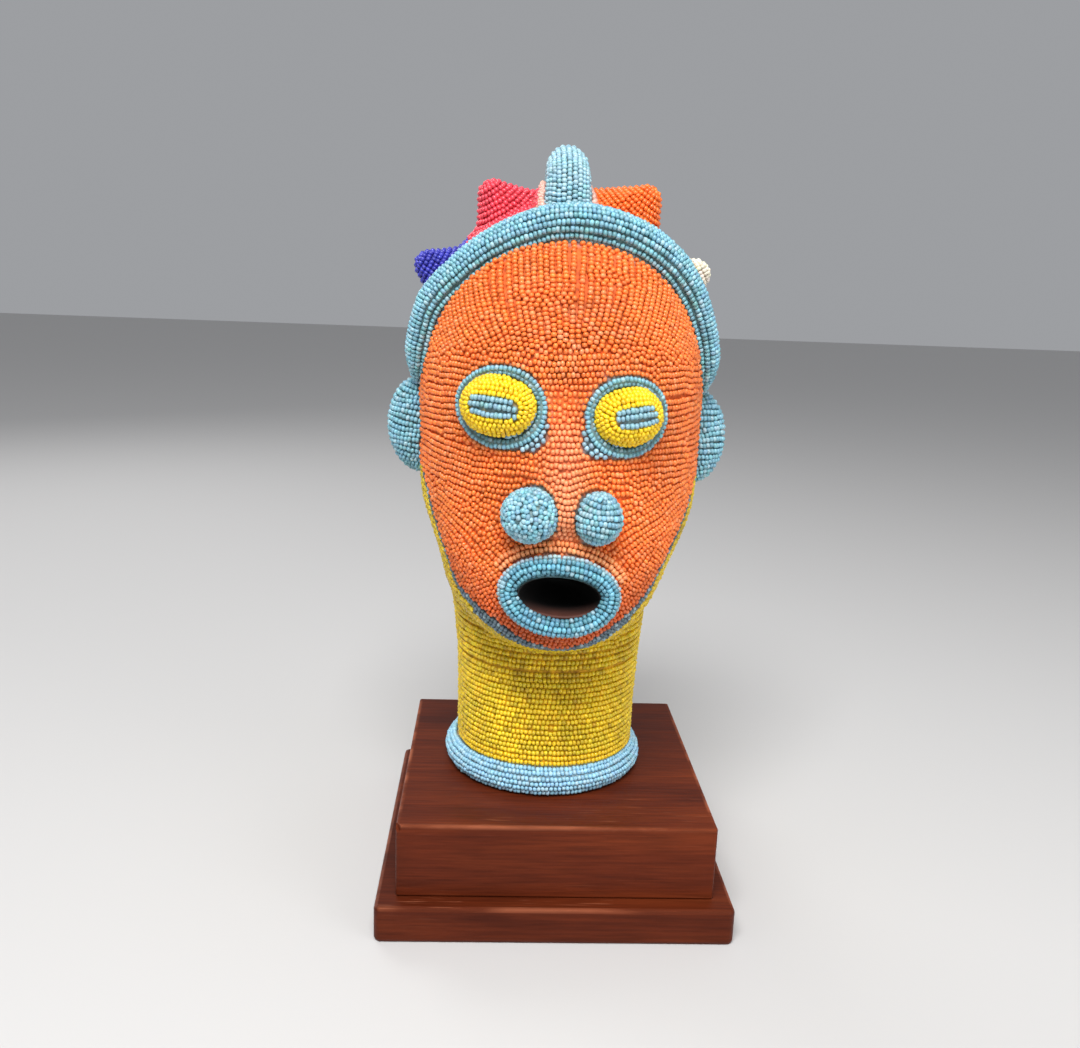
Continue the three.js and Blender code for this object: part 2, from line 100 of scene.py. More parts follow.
# Middle, half sizes and lean
EARS = [((-62.5, -4, 206), (14.3, 9.5, 21), 6), ((57, -4, 204.5), (13.4, 9.5, 20.5), -6)]
EYES = [
    Sizes(x=-29.6, z=220.8, a=15.1, b=12.1, bulge=8.6),
    Sizes(x=20.5, z=218.6, a=13.8, b=11.6, bulge=8.6),
]
RINGS = [Sizes(x=-28.7, z=220.2, a=15.8, b=14), Sizes(x=20.4, z=218, a=14.9, b=13.7)]
NOSTRILS = [((-16.3, -67, 180.2), (10.9, 11.5, 10.4)), ((10.2, -67, 179.7), (9.2, 11, 10.2))]
LIPS = Sizes(x=-3.7, z=149.2, a=20.4, b=12.3, radius=3.9, roll=-4.5)
MOUTH = Sizes(at=(-3.5, -76, 148.2), half=(16.8, 34, 8.4), roll=-4.5)


def curve_through(xs, ys, end_slope=0.0):
    """A smooth curve through the points that never overshoots them."""
    xs, ys = np.array(xs, float), np.array(ys, float)
    rise = np.diff(ys) / np.diff(xs)
    slope = np.zeros(len(xs))
    slope[0], slope[-1] = rise[0], end_slope
    for i in range(1, len(xs) - 1):
        a, b = rise[i - 1], rise[i]
        slope[i] = 0 if a * b <= 0 else 2 * a * b / (a + b)

    def at(x):
        x = np.asarray(x, float)
        i = np.clip(np.searchsorted(xs, x) - 1, 0, len(xs) - 2)
        step = xs[i + 1] - xs[i]
        t = np.clip((x - xs[i]) / step, 0, 1)
        r = 1 - t
        return ((1 + 2 * t) * r * r * ys[i] + t * r * r * step * slope[i]
                + t * t * (3 - 2 * t) * ys[i + 1] - t * t * r * step * slope[i + 1])
    return at


mid_x, half_width, front_y, back_y = [curve_through(STATIONS[:, 0], STATIONS[:, k]) for k in (1, 2, 3, 4)]
left_lift = curve_through(*BAND_LIFTS.left)
right_lift = curve_through(*BAND_LIFTS.right)
crest_edge = curve_through(CREST_EDGE[:, 0], CREST_EDGE[:, 1], 0.2)
crest_half_width = curve_through(*CREST_HALF_WIDTHS)


def smooth(x, a, b):
    t = np.clip((x - a) / (b - a), 0, 1)
    return t * t * (3 - 2 * t)


def unit(v):
    return v / np.maximum(np.linalg.norm(v, axis=-1, keepdims=True), 1e-9)


def dot(a, b):
    return (a * b).sum(-1, keepdims=True)


def stacked(*columns):
    return np.stack(np.broadcast_arrays(*columns), -1)


def full_circle(steps):
    return np.linspace(0, 2 * math.pi, steps, endpoint=False)


def cos_sin(degrees):
    return math.cos(math.radians(degrees)), math.sin(math.radians(degrees))


def hill(across, up):
    return np.exp(-across * across - up * up)


def level_at(z):
    """Middle x and y, half width, front and back depth of the head's outline at height z."""
    z = np.asarray(z, float)
    k = np.sqrt(np.clip(1 - ((z - SKULL.z) / SKULL.rise) ** 2, 0, 1))
    y = NECK_MIDDLE_Y + (SKULL.y - NECK_MIDDLE_Y) * smooth(z, SIDE_LEVEL, SKULL.z)
    dome = z >= SKULL.z
    return (np.where(dome, SKULL.x, mid_x(z)), np.where(dome, SKULL.y, y),
            np.where(dome, SKULL.half * k, half_width(z)),
            np.where(dome, SKULL.front * k, y - front_y(z)),
            np.where(dome, SKULL.back * k, back_y(z) - y))


def relief(x, z):
    nose = smooth(z, NOSE.base, NOSE.tip) * (1 - smooth(z, NOSE.tip, NOSE.top))
    return (NOSE.rise * nose * hill((x - NOSE.x) / NOSE.half_width, 0)
            + MUZZLE.rise * hill((x - MUZZLE.x) / MUZZLE.half_width,
                                    (z - MUZZLE.z) / MUZZLE.half_height)
            - BRIDGE.depth * hill((x - BRIDGE.x) / BRIDGE.half_width,
                                     (z - BRIDGE.z) / BRIDGE.half_height))


def jaw_climb(side, z):
    share = smooth(z, JAW.foot, JAW.low) - smooth(z, JAW.high, JAW.top)
    return JAW.climb * side * side * share


def skin(angle, z):
    """The head's skin at an angle from the front toward +X, on the level that is z in front."""
    x0, y0, half, front, back = level_at(z)
    s, c = np.sin(angle), np.cos(angle)
    p = np.where(c > 0, 2 / FRONT_SQUARENESS, 1.0)
    x = x0 + half * np.sign(s) * np.abs(s) ** p
    height = z + jaw_climb(s, z)
    y_front = y0 - front * np.abs(c) ** p - relief(x, height)
    return stacked(x, np.where(c > 0, y_front, y0 - back * c), height)


def skin_tangents(angle, z):
    e, d = 0.004, 0.25
    return ((skin(angle + e, z) - skin(angle - e, z)) / (2 * e),
            (skin(angle, z + d) - skin(angle, z - d)) / (2 * d))


def skin_normal(angle, z):
    return unit(np.cross(*skin_tangents(angle, z)))


def face_y(x, z):
    level = level_at(z)
    across = 0
    for _ in range(4):
        across = np.clip(np.abs((x - level[0]) / level[2]), 0, 1)
        level = level_at(z - jaw_climb(across ** (FRONT_SQUARENESS / 2), z))
    ahead = (1 - across ** FRONT_SQUARENESS) ** (1 / FRONT_SQUARENESS)
    return level[1] - level[3] * ahead - relief(x, z)


def face_normal(x, z):
    e = 0.5
    dx = (face_y(x + e, z) - face_y(x - e, z)) / (2 * e)
    dz = (face_y(x, z + e) - face_y(x, z - e)) / (2 * e)
    return unit(stacked(dx, -1.0, dz))


def skull_scale(p):
    """How far p is out of the skull: 1 on its surface, less inside."""
    q = p - SKULL_MIDDLE
    deep = np.where(q[..., 1] < 0, SKULL.front, SKULL.back)
    up = np.where(q[..., 2] > 0, q[..., 2] / SKULL.rise, 0)
    return np.sqrt((q[..., 0] / SKULL.half) ** 2 + (q[..., 1] / deep) ** 2 + up ** 2)


def skull_point(side_angle, y):
    side = np.radians(side_angle)
    deep = np.where(y < SKULL.y, SKULL.front, SKULL.back)
    k = np.sqrt(1 - ((y - SKULL.y) / deep) ** 2)
    x, z = SKULL.half * k * np.sin(side), SKULL.rise * k * np.cos(side)
    n = stacked(x / SKULL.half ** 2, (y - SKULL.y) / deep ** 2, z / SKULL.rise ** 2)
    return stacked(SKULL.x + x, y, SKULL.z + z), unit(n)


def band_depth(side):
    return BAND.front_y + (BAND.side_y - BAND.front_y) * (1 - np.cos(np.radians(side)))


def band_line(t):
    """The headband's middle line, the direction it faces, and its radius."""
    side = BAND.sweep * (2 * t - 1)
    at, facing = skull_point(side, band_depth(side))
    lift = np.where(t < 0.5, left_lift(np.abs(side)), right_lift(np.abs(side)))
    share = np.abs(2 * t - 1)
    from_tip = (1 - share) * math.radians(BAND.sweep) * SKULL.half
    tip = np.sin(math.pi / 2 * np.minimum(from_tip / BAND.tip + 0.12, 1))
    radius = tip * (BAND.radius + (BAND.side_radius - BAND.radius) * share ** 2)
    return at + facing * lift[..., None], facing, radius


def crest_share(angle):
    return (angle - CREST_EDGE[0, 0]) / (CREST_EDGE[-1, 0] - CREST_EDGE[0, 0])


def crest_outside(p):
    """Distance from the crest's flanks or edge, negative inside it."""
    q = p - np.array([0, CREST.y, CREST.z])
    angle = np.degrees(np.arctan2(q[..., 1], q[..., 2]))
    width = crest_half_width(crest_share(angle))
    reach = np.hypot(q[..., 1], q[..., 2])
    over = np.maximum(reach - (crest_edge(angle) - width), 0)
    side = np.hypot(p[..., 0] - CREST.x, over) - width
    ends = np.maximum(CREST_EDGE[0, 0] - angle, angle - CREST_EDGE[-1, 0]) * reach * math.pi / 180
    return np.maximum(side, ends)


def crest_foot_height(p):
    """How far the crest's foot lifts the beads off the skull at p."""
    angle = np.degrees(np.arctan2(p[..., 1] - CREST.y, p[..., 2] - CREST.z))
    out = np.abs(p[..., 0] - CREST.x) - crest_half_width(crest_share(angle))
    ends = 6 * smooth(angle, CREST_FOOT.sinks_from, CREST_FOOT.to)
    return np.maximum(np.interp(out, CREST_FOOT.out, CREST_FOOT.up) - ends, 0)


# Colours of glass
def linear(r, g, b):
    c = np.array([r, g, b]) / 255
    return np.where(c > 0.04045, ((c + 0.055) / 1.055) ** 2.4, c / 12.92)


ORANGE = linear(240, 124, 54)
PALE_ORANGE = linear(248, 160, 104)
DEEP_ORANGE = linear(242, 116, 46)
PALE_BLUE = linear(128, 182, 198)
WHITE_BLUE = linear(180, 208, 216)
TEAL = linear(106, 154, 164)
FOOT_BLUE = linear(152, 202, 226)
# light blue darkened to grey: painted shade, for the rows under the jaw
SHADED_JAW_BLUE = linear(96, 116, 126)
LILAC = linear(146, 180, 194)
YELLOW = linear(226, 194, 36)
GOLD = linear(240, 196, 26)
EYE_YELLOW = linear(244, 206, 30)
BROWN = linear(120, 78, 22)
RED = linear(230, 74, 90)
DARK_BLUE = linear(62, 64, 172)
CREAM = linear(228, 220, 200)
PINK = linear(232, 178, 160)

# Strings of beads
ROW = 2.4
PITCH = 1.82
SINK = 0.65
BEAD_RADIUS = 1.21


class Beads:
    """Beads of one field: middle, direction of the string, outward direction, colour and radius."""

    def __init__(self):
        self.parts = []

    def add(self, at, along, out, colour, radius=BEAD_RADIUS):
        n = len(at)
        along = unit(along)
        out = unit(out - along * dot(out, along))
        self.parts.append([np.array(at, float), along, out, np.broadcast_to(colour, (n, 3)).astype(float),
                           np.broadcast_to(radius, n).astype(float)])

    def string(self, points, normals, colour, radius=BEAD_RADIUS, spread=0.1, pale=0.0, closed=False,
               pitch=PITCH, phase=0.5, sink=SINK, keep=None):
        """A string of beads along a line on the surface, a little sunk into it."""
        at, along, out = strung(points, normals, pitch, closed, phase)
        if keep is not None:
            shown = keep(at)
            at, along, out = at[shown], along[shown], out[shown]
        self.add(at - out * sink, along, out, mottled(colour, len(at), spread, pale, WHITE_BLUE), radius)

    def all(self):
        return [np.concatenate(column) for column in zip(*self.parts)]


def strung(points, normals, pitch, closed, phase):
    """Bead middles at an even pitch along a line, with the line's direction and outward normals."""
    if closed:
        points, normals = np.vstack([points, points[:1]]), np.vstack([normals, normals[:1]])
    gone = np.concatenate([[0], np.cumsum(np.linalg.norm(np.diff(points, axis=0), axis=1))])
    count = max(int(round(gone[-1] / pitch)), 1)
    s = (np.arange(count) + phase) * gone[-1] / count

    def at(s, values):
        return stacked(*(np.interp(s, gone, column) for column in values.T))

    ahead = at(np.minimum(s + 0.4, gone[-1]), points) - at(np.maximum(s - 0.4, 0), points)
    return at(s, points), unit(ahead), unit(at(s, normals))


def mottled(colour, n, spread=0.1, pale=0.0, pale_colour=None):
    """n colours about one, each bead a little lighter or darker, some of them paler."""
    tint = np.exp(rng.normal(0, spread, (n, 1))) * np.exp(rng.normal(0, spread * 0.3, (n, 3)))
    out = np.broadcast_to(colour, (n, 3)) * tint
    if pale:
        chosen = rng.random(n) < pale
        out = np.where(chosen[:, None], 0.5 * out + 0.5 * pale_colour, out)
    return np.clip(out, 0.002, 0.95)


OWN_STEPS = 5


class Places:
    """Points kept in cubes, so that those near a point are found at once."""

    def __init__(self, size):
        self.size = size
        self.cubes = {}

    def cube(self, p):
        return int(p[0] // self.size), int(p[1] // self.size), int(p[2] // self.size)

    def put(self, p, line=-1, index=0):
        self.cubes.setdefault(self.cube(p), []).append((float(p[0]), float(p[1]), float(p[2]), line, index))

    def take_out(self, p, line):
        cube = self.cubes[self.cube(p)]
        cube[:] = [entry for entry in cube if entry[3] != line]

    def clear(self, p, limit, line=None, index=0):
        """Whether nothing lies within the limit of p, apart from the same line close by."""
        i, j, k = self.cube(p)
        x, y, z = float(p[0]), float(p[1]), float(p[2])
        limit *= limit
        for di in (-1, 0, 1):
            for dj in (-1, 0, 1):
                for dk in (-1, 0, 1):
                    for qx, qy, qz, other, at in self.cubes.get((i + di, j + dj, k + dk), ()):
                        if other == line and abs(at - index) < OWN_STEPS:
                            continue
                        if (x - qx) ** 2 + (y - qy) ** 2 + (z - qz) ** 2 < limit:
                            return False
        return True


neck, blue, knobs, eyes, face = Beads(), Beads(), Beads(), Beads(), Beads()


# Foot ring: each row's height above the head's bottom
FOOT_ROWS = [1.35, 3.65, 5.95, 8.25, 10.55, 12.05]


def foot_radius(share):
    return FOOT.radius + FOOT.swell * np.sin(math.pi * (0.12 + 0.8 * share)) ** 0.7


def foot_rows():
    turn = full_circle(360)
    for k, height in enumerate(FOOT_ROWS):
        share = height / FOOT.height
        r = foot_radius(share) + 0.15 * np.sin(3 * turn + 2 * k)
        z = HEAD_BOTTOM + share * FOOT.height + 0.15 * np.sin(5 * turn + k) * (k > 0)
        slope = (foot_radius(share + 0.05) - foot_radius(share - 0.05)) / (0.1 * FOOT.height)
        points = stacked(FOOT.x + r * np.cos(turn), FOOT.y + r * np.sin(turn), z)
        normals = unit(stacked(np.cos(turn), np.sin(turn), -slope))
        blue.string(points, normals, FOOT_BLUE * (0.86 if k == 0 else 1), 1.18, 0.08, 0.2, True)


# Headband: each row's angle round the roll, bead radius and colour
BAND_ROWS = [
    (112, 0.95, WHITE_BLUE), (90, 1.2, TEAL * 1.25), (66, 1.25, TEAL * 1.2), (43.5, 1.22, PALE_BLUE * 0.92),
]
BAND_ROWS += [(25 - 17.4 * k, 1.18, PALE_BLUE) for k in range(7)]

band_middle, facing, band_radius = band_line(np.linspace(0, 1, 500))


def band_rows():
    ahead = unit(np.gradient(band_middle, axis=0))
    across = unit(facing - ahead * dot(facing, ahead))
    toward_face = np.cross(ahead, across)
    t = np.linspace(0, 1, len(band_middle))
    for row, (turned, size, tone) in enumerate(BAND_ROWS):
        v = np.radians(turned + 2.0 * np.sin(9 * t + row) + 1.2 * np.sin(31 * t + 2 * row))[:, None]
        normals = across * np.cos(v) + toward_face * np.sin(v)
        blue.string(band_middle + normals * band_radius[:, None], normals, tone, size, 0.12, 0.16,
                    pitch=PITCH if row else 1.6)


# Crest
CREST_COLOUR = PALE_BLUE * 0.5 + TEAL * 0.15 + WHITE_BLUE * 0.35


def crest_rows():
    shares = np.linspace(0, 1, 160)
    angles = CREST_EDGE[0, 0] + shares * (CREST_EDGE[-1, 0] - CREST_EDGE[0, 0])
    turned = np.radians(angles)
    outward = stacked(0, np.sin(turned), np.cos(turned))
    section = np.linspace(0, math.pi, 60)
    middle = np.array([CREST.x, CREST.y, CREST.z])

    def over_foot(at):
        return (skull_scale(at) - 1) * SKULL_REACH > crest_foot_height(at) - 1.2

    for row in range(-9, 10):
        points, normals = [], []
        side = 1 if row >= 0 else -1
        for w, edge, out in zip(crest_half_width(shares), crest_edge(angles), outward):
            top = section < math.pi / 2
            inward = np.where(top, w * (1 - np.cos(section)), w - CREST.depth * np.cos(section))
            aside = w * np.sin(section)
            gone = np.concatenate([[0], np.cumsum(np.hypot(np.diff(aside), np.diff(inward)))])
            s = abs(row) * ROW * 0.97
            x, deep, tilt = [np.interp(s, gone, values) for values in (aside, inward, section)]
            points.append(middle + np.array([side * x, 0, 0]) + out * (edge - deep))
            normals.append(np.array([side * math.sin(tilt), 0, 0]) + out * max(math.cos(tilt), 0.0))
        blue.string(np.array(points), unit(np.array(normals)), CREST_COLOUR, 1.14, 0.1, 0.25,
                    phase=rng.random(), keep=over_foot)


# Knobs and the skull between them
KNOB_COLOURS = [RED, DEEP_ORANGE, DARK_BLUE, CREAM, PINK, RED, DEEP_ORANGE, DARK_BLUE]
KNOB_FEET, KNOB_AXES = skull_point(np.array([k[0] for k in KNOB_PLACES], float),
                                   np.array([k[1] for k in KNOB_PLACES], float))
NAPE_TOP = 236.0
NAPE_PEAK = Sizes(rise=16, half_width=24)
KNOB_PATCH = 15.0
KNOB_REACH = 50.0
KNOB_SOFTNESS = 1.0


def nape_top(x):
    """Where the nape's rows end: they rise to a peak under the crest's end."""
    return NAPE_TOP + NAPE_PEAK.rise * hill((x - CREST.x) / NAPE_PEAK.half_width, 0)


def knob_surface(index, ray, r):
    """Height over the foot's tangent plane of the knob and the skull round it, at distances r."""
    height, spread = KNOB_PLACES[index][2:]
    foot, axis = KNOB_FEET[index], KNOB_AXES[index]
    slope, tip = KNOB.slope, KNOB.tip
    meet = tip * math.sin(slope)
    crest_side = np.array([-np.sign(KNOB_PLACES[index][0]), 0, 0])
    crest_side = unit(crest_side - axis * (crest_side @ axis))
    inner = np.maximum(ray @ crest_side, 0)[:, None] ** 2
    narrow = np.where(r > meet, meet + (r - meet) / (1 + (spread - 1) * inner), r)
    ball = height - tip + np.sqrt(np.maximum(tip * tip - narrow * narrow, 0))
    cone = height - tip + tip * math.cos(slope) - (narrow - meet) * math.tan(slope)
    own = np.where(narrow < meet, ball, cone)
    plane = foot + ray[:, None] * r[..., None]
    low, high = np.full(narrow.shape, -60.0), np.full(narrow.shape, 2.0)
    for _ in range(22):
        mid = (low + high) / 2
        outside = skull_scale(plane + axis * mid[..., None]) > 1
        low, high = np.where(outside, low, mid), np.where(outside, mid, high)
    ground = low + crest_foot_height(plane + axis * low[..., None])
    return ground + KNOB_SOFTNESS * np.logaddexp(0, (own - ground) / KNOB_SOFTNESS)


def knob_rows(index):
    foot, axis = KNOB_FEET[index], KNOB_AXES[index]
    first = unit(np.cross(axis, [0, 1, 0.2]))
    second = np.cross(axis, first)
    around = full_circle(120)
    ray = first * np.cos(around)[:, None] + second * np.sin(around)[:, None]
    distances = np.arange(0, KNOB_REACH, 0.25)
    r = np.broadcast_to(distances, (len(around), len(distances)))
    h = knob_surface(index, ray, r)
    gone = np.concatenate([np.zeros((len(around), 1)), np.cumsum(np.hypot(np.diff(r), np.diff(h)), 1)], 1)

    def ring(s):
        ends = [(np.interp(s, g, rr), np.interp(s, g, hh)) for g, rr, hh in zip(gone, r, h)]
        out, up = np.array(ends).T
        return foot + ray * out[:, None] + axis * up[:, None]

    for k in range(int(KNOB_REACH / ROW)):
        s = (k + 0.42) * ROW
        points = ring(s)
        down = ring(s + 0.6) - points
        circle = np.roll(points, -1, 0) - np.roll(points, 1, 0)
        normals = unit(np.cross(circle, down))
        normals *= np.sign(dot(normals, axis))
        at, along, out = strung(points, normals, PITCH, True, rng.random())
        distance = np.linalg.norm(at[:, None] - KNOB_FEET[None], axis=-1)
        above = at[:, 2] > nape_top(at[:, 0]) - 0.6
        shown = (distance.argmin(1) == index) & ((distance.min(1) < KNOB_PATCH) | above)
        side = np.degrees(np.arctan2(at[:, 0] - SKULL.x, at[:, 2] - SKULL.z))
        shown &= (at[:, 1] > band_depth(side)) & (crest_outside(at) > 0.9) & (skull_scale(at) > 0.97)
        to_band = np.linalg.norm(at[:, None] - band_middle[None, ::6], axis=-1) - band_radius[None, ::6]
        shown &= to_band.min(1) > 0.7
        at, along, out = at[shown], along[shown], out[shown]
        strip = (crest_outside(at) < 3.2) & (at[:, 1] < 14)
        own = KNOB_COLOURS[index]
        tone = mottled(own, len(at), 0.09, 0.05, np.minimum(own * 1.5, 1))
        edge = mottled(PINK, len(at), 0.08)
        knobs.add(at - out * SINK, along, out, np.where(strip[:, None], edge, tone))


# Ears and nostrils
def off_skin(p):
    x0, y0, half, front, back = level_at(p[:, 2])
    deep = np.where(p[:, 1] < y0, front, back)
    power = np.where(p[:, 1] < y0, FRONT_SQUARENESS, 2)
    reach = (np.abs((p[:, 0] - x0) / half) ** power + np.abs((p[:, 1] - y0) / deep) ** power) ** (1 / power)
    return (reach - 1) * SIDE_REACH > -0.4


def off_face(p):
    return p[:, 1] < face_y(p[:, 0], p[:, 2]) + 1


def ball_rows(at, half, colour, keep, axis, lean=0.0, pale=0.15, spread=0.1, wave=0.0):
    """Rows round an ellipsoid, from one end of the axis to the other."""
    axis = unit(np.array(axis, float))
    first = unit(np.cross(axis, [0, 1, 0.1]))
    second = np.cross(axis, first)
    half = np.array(half, float)
    size = np.linalg.norm(axis * half)
    wide = (np.linalg.norm(first * half) + np.linalg.norm(second * half)) / 2
    fine = np.linspace(0, math.pi, 400)
    steps = np.hypot(np.diff(size * np.cos(fine)), np.diff(wide * np.sin(fine)))
    gone = np.concatenate([[0], np.cumsum(steps)])
    count = int(round(gone[-1] / ROW))
    c, s = cos_sin(lean)
    leaning = np.array([[1, 0, 0], [0, c, -s], [0, s, c]])
    around = full_circle(90)[:, None]
    for k in range(count):
        polar = np.interp((k + 0.5) * gone[-1] / count, gone, fine) + wave * np.sin(3 * around + k)
        ray = axis * np.cos(polar) + np.sin(polar) * (first * np.cos(around) + second * np.sin(around))
        blue.string((ray * half) @ leaning.T + np.array(at), unit((ray / half) @ leaning.T), colour,
                    BEAD_RADIUS, spread, pale, True, phase=rng.random(), keep=keep)


def ball_scatter(at, half, colour, keep, room=3.7):
    """Beads that lie every way on an ellipsoid, each on its own patch of room square millimetres."""
    half = np.array(half, float)
    count = int(4 * math.pi * (half.prod() ** (2 / 3)) / room)
    k = np.arange(count) + 0.5
    up = 1 - 2 * k / count
    turn = k * math.pi * (3 - math.sqrt(5))
    flat = np.sqrt(1 - up * up)
    ray = stacked(flat * np.cos(turn), -up, flat * np.sin(turn))
    ray = unit(ray + rng.normal(0, 0.02, (count, 3)))
    out = unit(ray / half)
    along = unit(np.cross(out, rng.normal(0, 1, (count, 3))))
    middle = ray * half + np.array(at)
    shown = keep(middle)
    blue.add((middle - out * (SINK - 0.1))[shown], along[shown], out[shown],
             mottled(colour, shown.sum(), 0.15, 0.35, WHITE_BLUE), 1.2)


# Eyes and the rings round them
PUPILS = [Sizes(x=0.1, z=0.3, half=5.6, tilt=-5), Sizes(x=0.9, z=0.4, half=4.9, tilt=8)]
PUPIL_ROWS = [(2.3, -0.7, 0.86), (0, -0.2, 0.98), (-2.3, 0.6, 0.92)]
FULL_TURN = full_circle(240)


def ring_rows(r):
    rows = [(1.35, 1.3, PALE_BLUE * 0.92, 1.14, 0.5), (-0.95, 0.9, TEAL * 0.9, 1.0, -0.2)]
    for grow, rise, tone, size, turn in rows:
        x = r.x + (r.a + grow) * np.cos(FULL_TURN)
        z = r.z + (r.b + grow) * np.sin(FULL_TURN)
        radial = unit(stacked(np.cos(FULL_TURN) / r.a, 0, np.sin(FULL_TURN) / r.b))
        points = stacked(x, face_y(x, z) - rise, z)
        blue.string(points, unit(face_normal(x, z) + radial * turn), tone, size, 0.1, 0.1, True, sink=0.5)


def ring_corner(r):
    """The pebbly patch at each ring's lower corner toward the nose."""
    inner = 1 if r.x < 0 else -1
    arcs = ((3.3, 0.9, range(-62, -18, 7)), (5.1, 0.5, range(-52, -28, 7)), (-2.8, 0.3, range(-80, 0, 8)))
    for grow, rise, turns in arcs:
        for turned in turns:
            u = math.radians(turned + rng.uniform(-2, 2))
            x = np.array([r.x + inner * (r.a + grow) * math.cos(u)])
            z = np.array([r.z + (r.b + grow) * math.sin(u)])
            spin = rng.uniform(0, math.pi)
            way = np.array([[math.cos(spin), 0, math.sin(spin)]])
            blue.add(stacked(x, face_y(x, z) - rise, z), way, face_normal(x, z),
                     mottled(LILAC, 1, 0.12), 1.1)


def eye_rows(e, pupil):
    slope = float(face_y(e.x + 4, e.z) - face_y(e.x - 4, e.z)) / 8
    turn = math.atan(slope) * 0.8
    c, s = math.cos(turn), math.sin(turn)
    turned = np.array([[c, -s, 0], [s, c, 0], [0, 0, 1]])
    centre = np.array([e.x, float(face_y(e.x, e.z)), e.z])
    half = np.array([e.a, e.bulge, e.b])
    quarter_arc = math.pi / 4 * 1.03 * (half[[0, 2]] + half[1])
    c, s = cos_sin(pupil.tilt)

    def on_eye(u, v):
        """The dome's point at distances u and v over its surface from the pupil's middle."""
        flat = stacked(pupil.x + c * u - s * v, pupil.z + s * u + c * v) / quarter_arc
        polar = np.linalg.norm(flat, axis=-1) * math.pi / 2
        heading = np.arctan2(flat[..., 1], flat[..., 0])
        ray = stacked(np.sin(polar) * np.cos(heading), -np.cos(polar), np.sin(polar) * np.sin(heading))
        return (ray * half) @ turned.T + centre, unit(ray / half) @ turned.T

    for v, shift, share in PUPIL_ROWS:
        u = np.linspace(-1, 1, 60) * (pupil.half + 3.2) * share + shift
        points, normals = on_eye(u, v + 0.4 * (1 - (u / 9) ** 2) * np.sign(v + 0.1))
        eyes.string(points, normals, PALE_BLUE * 0.6 + WHITE_BLUE * 0.25, 1.18, 0.09, pitch=1.78,
                    sink=SINK - 0.2)
    for k in range(8):
        reach = 4.75 + ROW * k
        u = reach * np.cos(FULL_TURN) + pupil.half * np.tanh(3 * np.cos(FULL_TURN))
        v = reach * np.sin(FULL_TURN) * (1 - 0.05 * k)
        points, normals = on_eye(u, v)
        eyes.string(points, normals, EYE_YELLOW, 1.18, 0.08, closed=True, phase=rng.random(), keep=off_face)


# Lips: each row's angle round the roll, bead radius and colour; the blue rows are painted lighter at the
# front of the roll and darker toward the mouth, a painted highlight and painted shade
LIP_BLUE = linear(106, 166, 186)
LIP_ROWS = [(4, 1.0, WHITE_BLUE * 0.75), (47, 1.22, LIP_BLUE * 0.85), (88, 1.26, LIP_BLUE * 1.1),
            (127, 1.2, LIP_BLUE * 0.85), (160, 1.1, LIP_BLUE * 0.6)]
LIP_RIDGE = [(1.7, 1.1, PALE_ORANGE), (3.8, 0.9, PALE_ORANGE * 0.6 + ORANGE * 0.4)]


def lip_line(around, turned, radius):
    """Points and normals round the lips' roll, turned from its outer side to the front."""
    v = np.radians(turned)
    flat = unit(stacked(LIPS.b * np.cos(around), LIPS.a * np.sin(around)))
    line_x, line_z = LIPS.a * np.cos(around), LIPS.b * np.sin(around)
    x, z = line_x + flat[:, 0] * radius * np.cos(v), line_z + flat[:, 1] * radius * np.cos(v)
    c, s = cos_sin(LIPS.roll)
    depth = face_y(LIPS.x + line_x, LIPS.z + line_z) - radius * np.sin(v)
    points = stacked(LIPS.x + x * c - z * s, depth, LIPS.z + x * s + z * c)
    nx, nz = flat[:, 0] * np.cos(v), flat[:, 1] * np.cos(v)
    return points, stacked(nx * c - nz * s, -np.sin(v), nx * s + nz * c)


def lip_rows():
    for k, (turned, size, tone) in enumerate(LIP_ROWS):
        wave = turned + 3 * np.sin(4 * FULL_TURN + k) + 2 * np.sin(9 * FULL_TURN + 3 * k)
        roll = lip_line(FULL_TURN, wave, LIPS.radius)
        blue.string(*roll, tone, size, 0.1, 0.08, True, phase=rng.random())


def lip_ridge():
    """Two rolled rows of pale orange over the upper lip."""
    upper = np.linspace(math.radians(18), math.radians(162), 160)
    for reach, lift, tone in LIP_RIDGE:
        points, _ = lip_line(upper, 0 * upper, LIPS.radius + reach)
        x, z = points[:, 0], points[:, 2]
        points[:, 1] = face_y(x, z) - lift
        face.string(points, face_normal(x, z), tone, 1.3, 0.08)


foot_rows()
band_rows()
crest_rows()
for index in range(len(KNOB_PLACES)):
    knob_rows(index)
for at, half, lean in EARS:
    ball_rows(at, half, PALE_BLUE * 0.95, off_skin, (0.08 * -np.sign(at[0]), 0, 1), lean, wave=0.02)
ball_scatter(*NOSTRILS[0], PALE_BLUE, off_face)
ball_rows(*NOSTRILS[1], PALE_BLUE * 0.8 + TEAL * 0.15, off_face, (0.12, 0, 1), pale=0.35, spread=0.15,
          wave=0.03)
for r in RINGS:
    ring_rows(r)
    ring_corner(r)
for e, pupil in zip(EYES, PUPILS):
    eye_rows(e, pupil)
lip_rows()
lip_ridge()

# Strings over the skin: where they may lie
GRID_A = np.radians(np.arange(-180, 180.01, 1.5))
GRID_Z = np.arange(HEAD_BOTTOM, 303, 1.0)
GRID = skin(GRID_A[:, None], GRID_Z[None, :])
STEP_A, STEP_Z = GRID_A[1] - GRID_A[0], GRID_Z[1] - GRID_Z[0]
BORDER = curve_through(
    [-82, -79.5, -74, -68.5, -62, -57, -51, -41, -30, -19.5, -10, 0,
     8, 13.5, 20, 26, 37, 46, 52, 57.5, 62.5, 70, 79.5, 82],
    [232, 190, 187.5, 181, 151.5, 136, 131.8, 131, 130, 128, 126.2, 124.6,
     125, 126.8, 129, 131, 133.5, 138.5, 150, 163, 176, 186, 190, 232])
FACE_REACH = 79.0
FACE_TOP = 292.0
TURN_Z = 246.5
TURN_FALL = 0.16
RING_COVER = 2.4


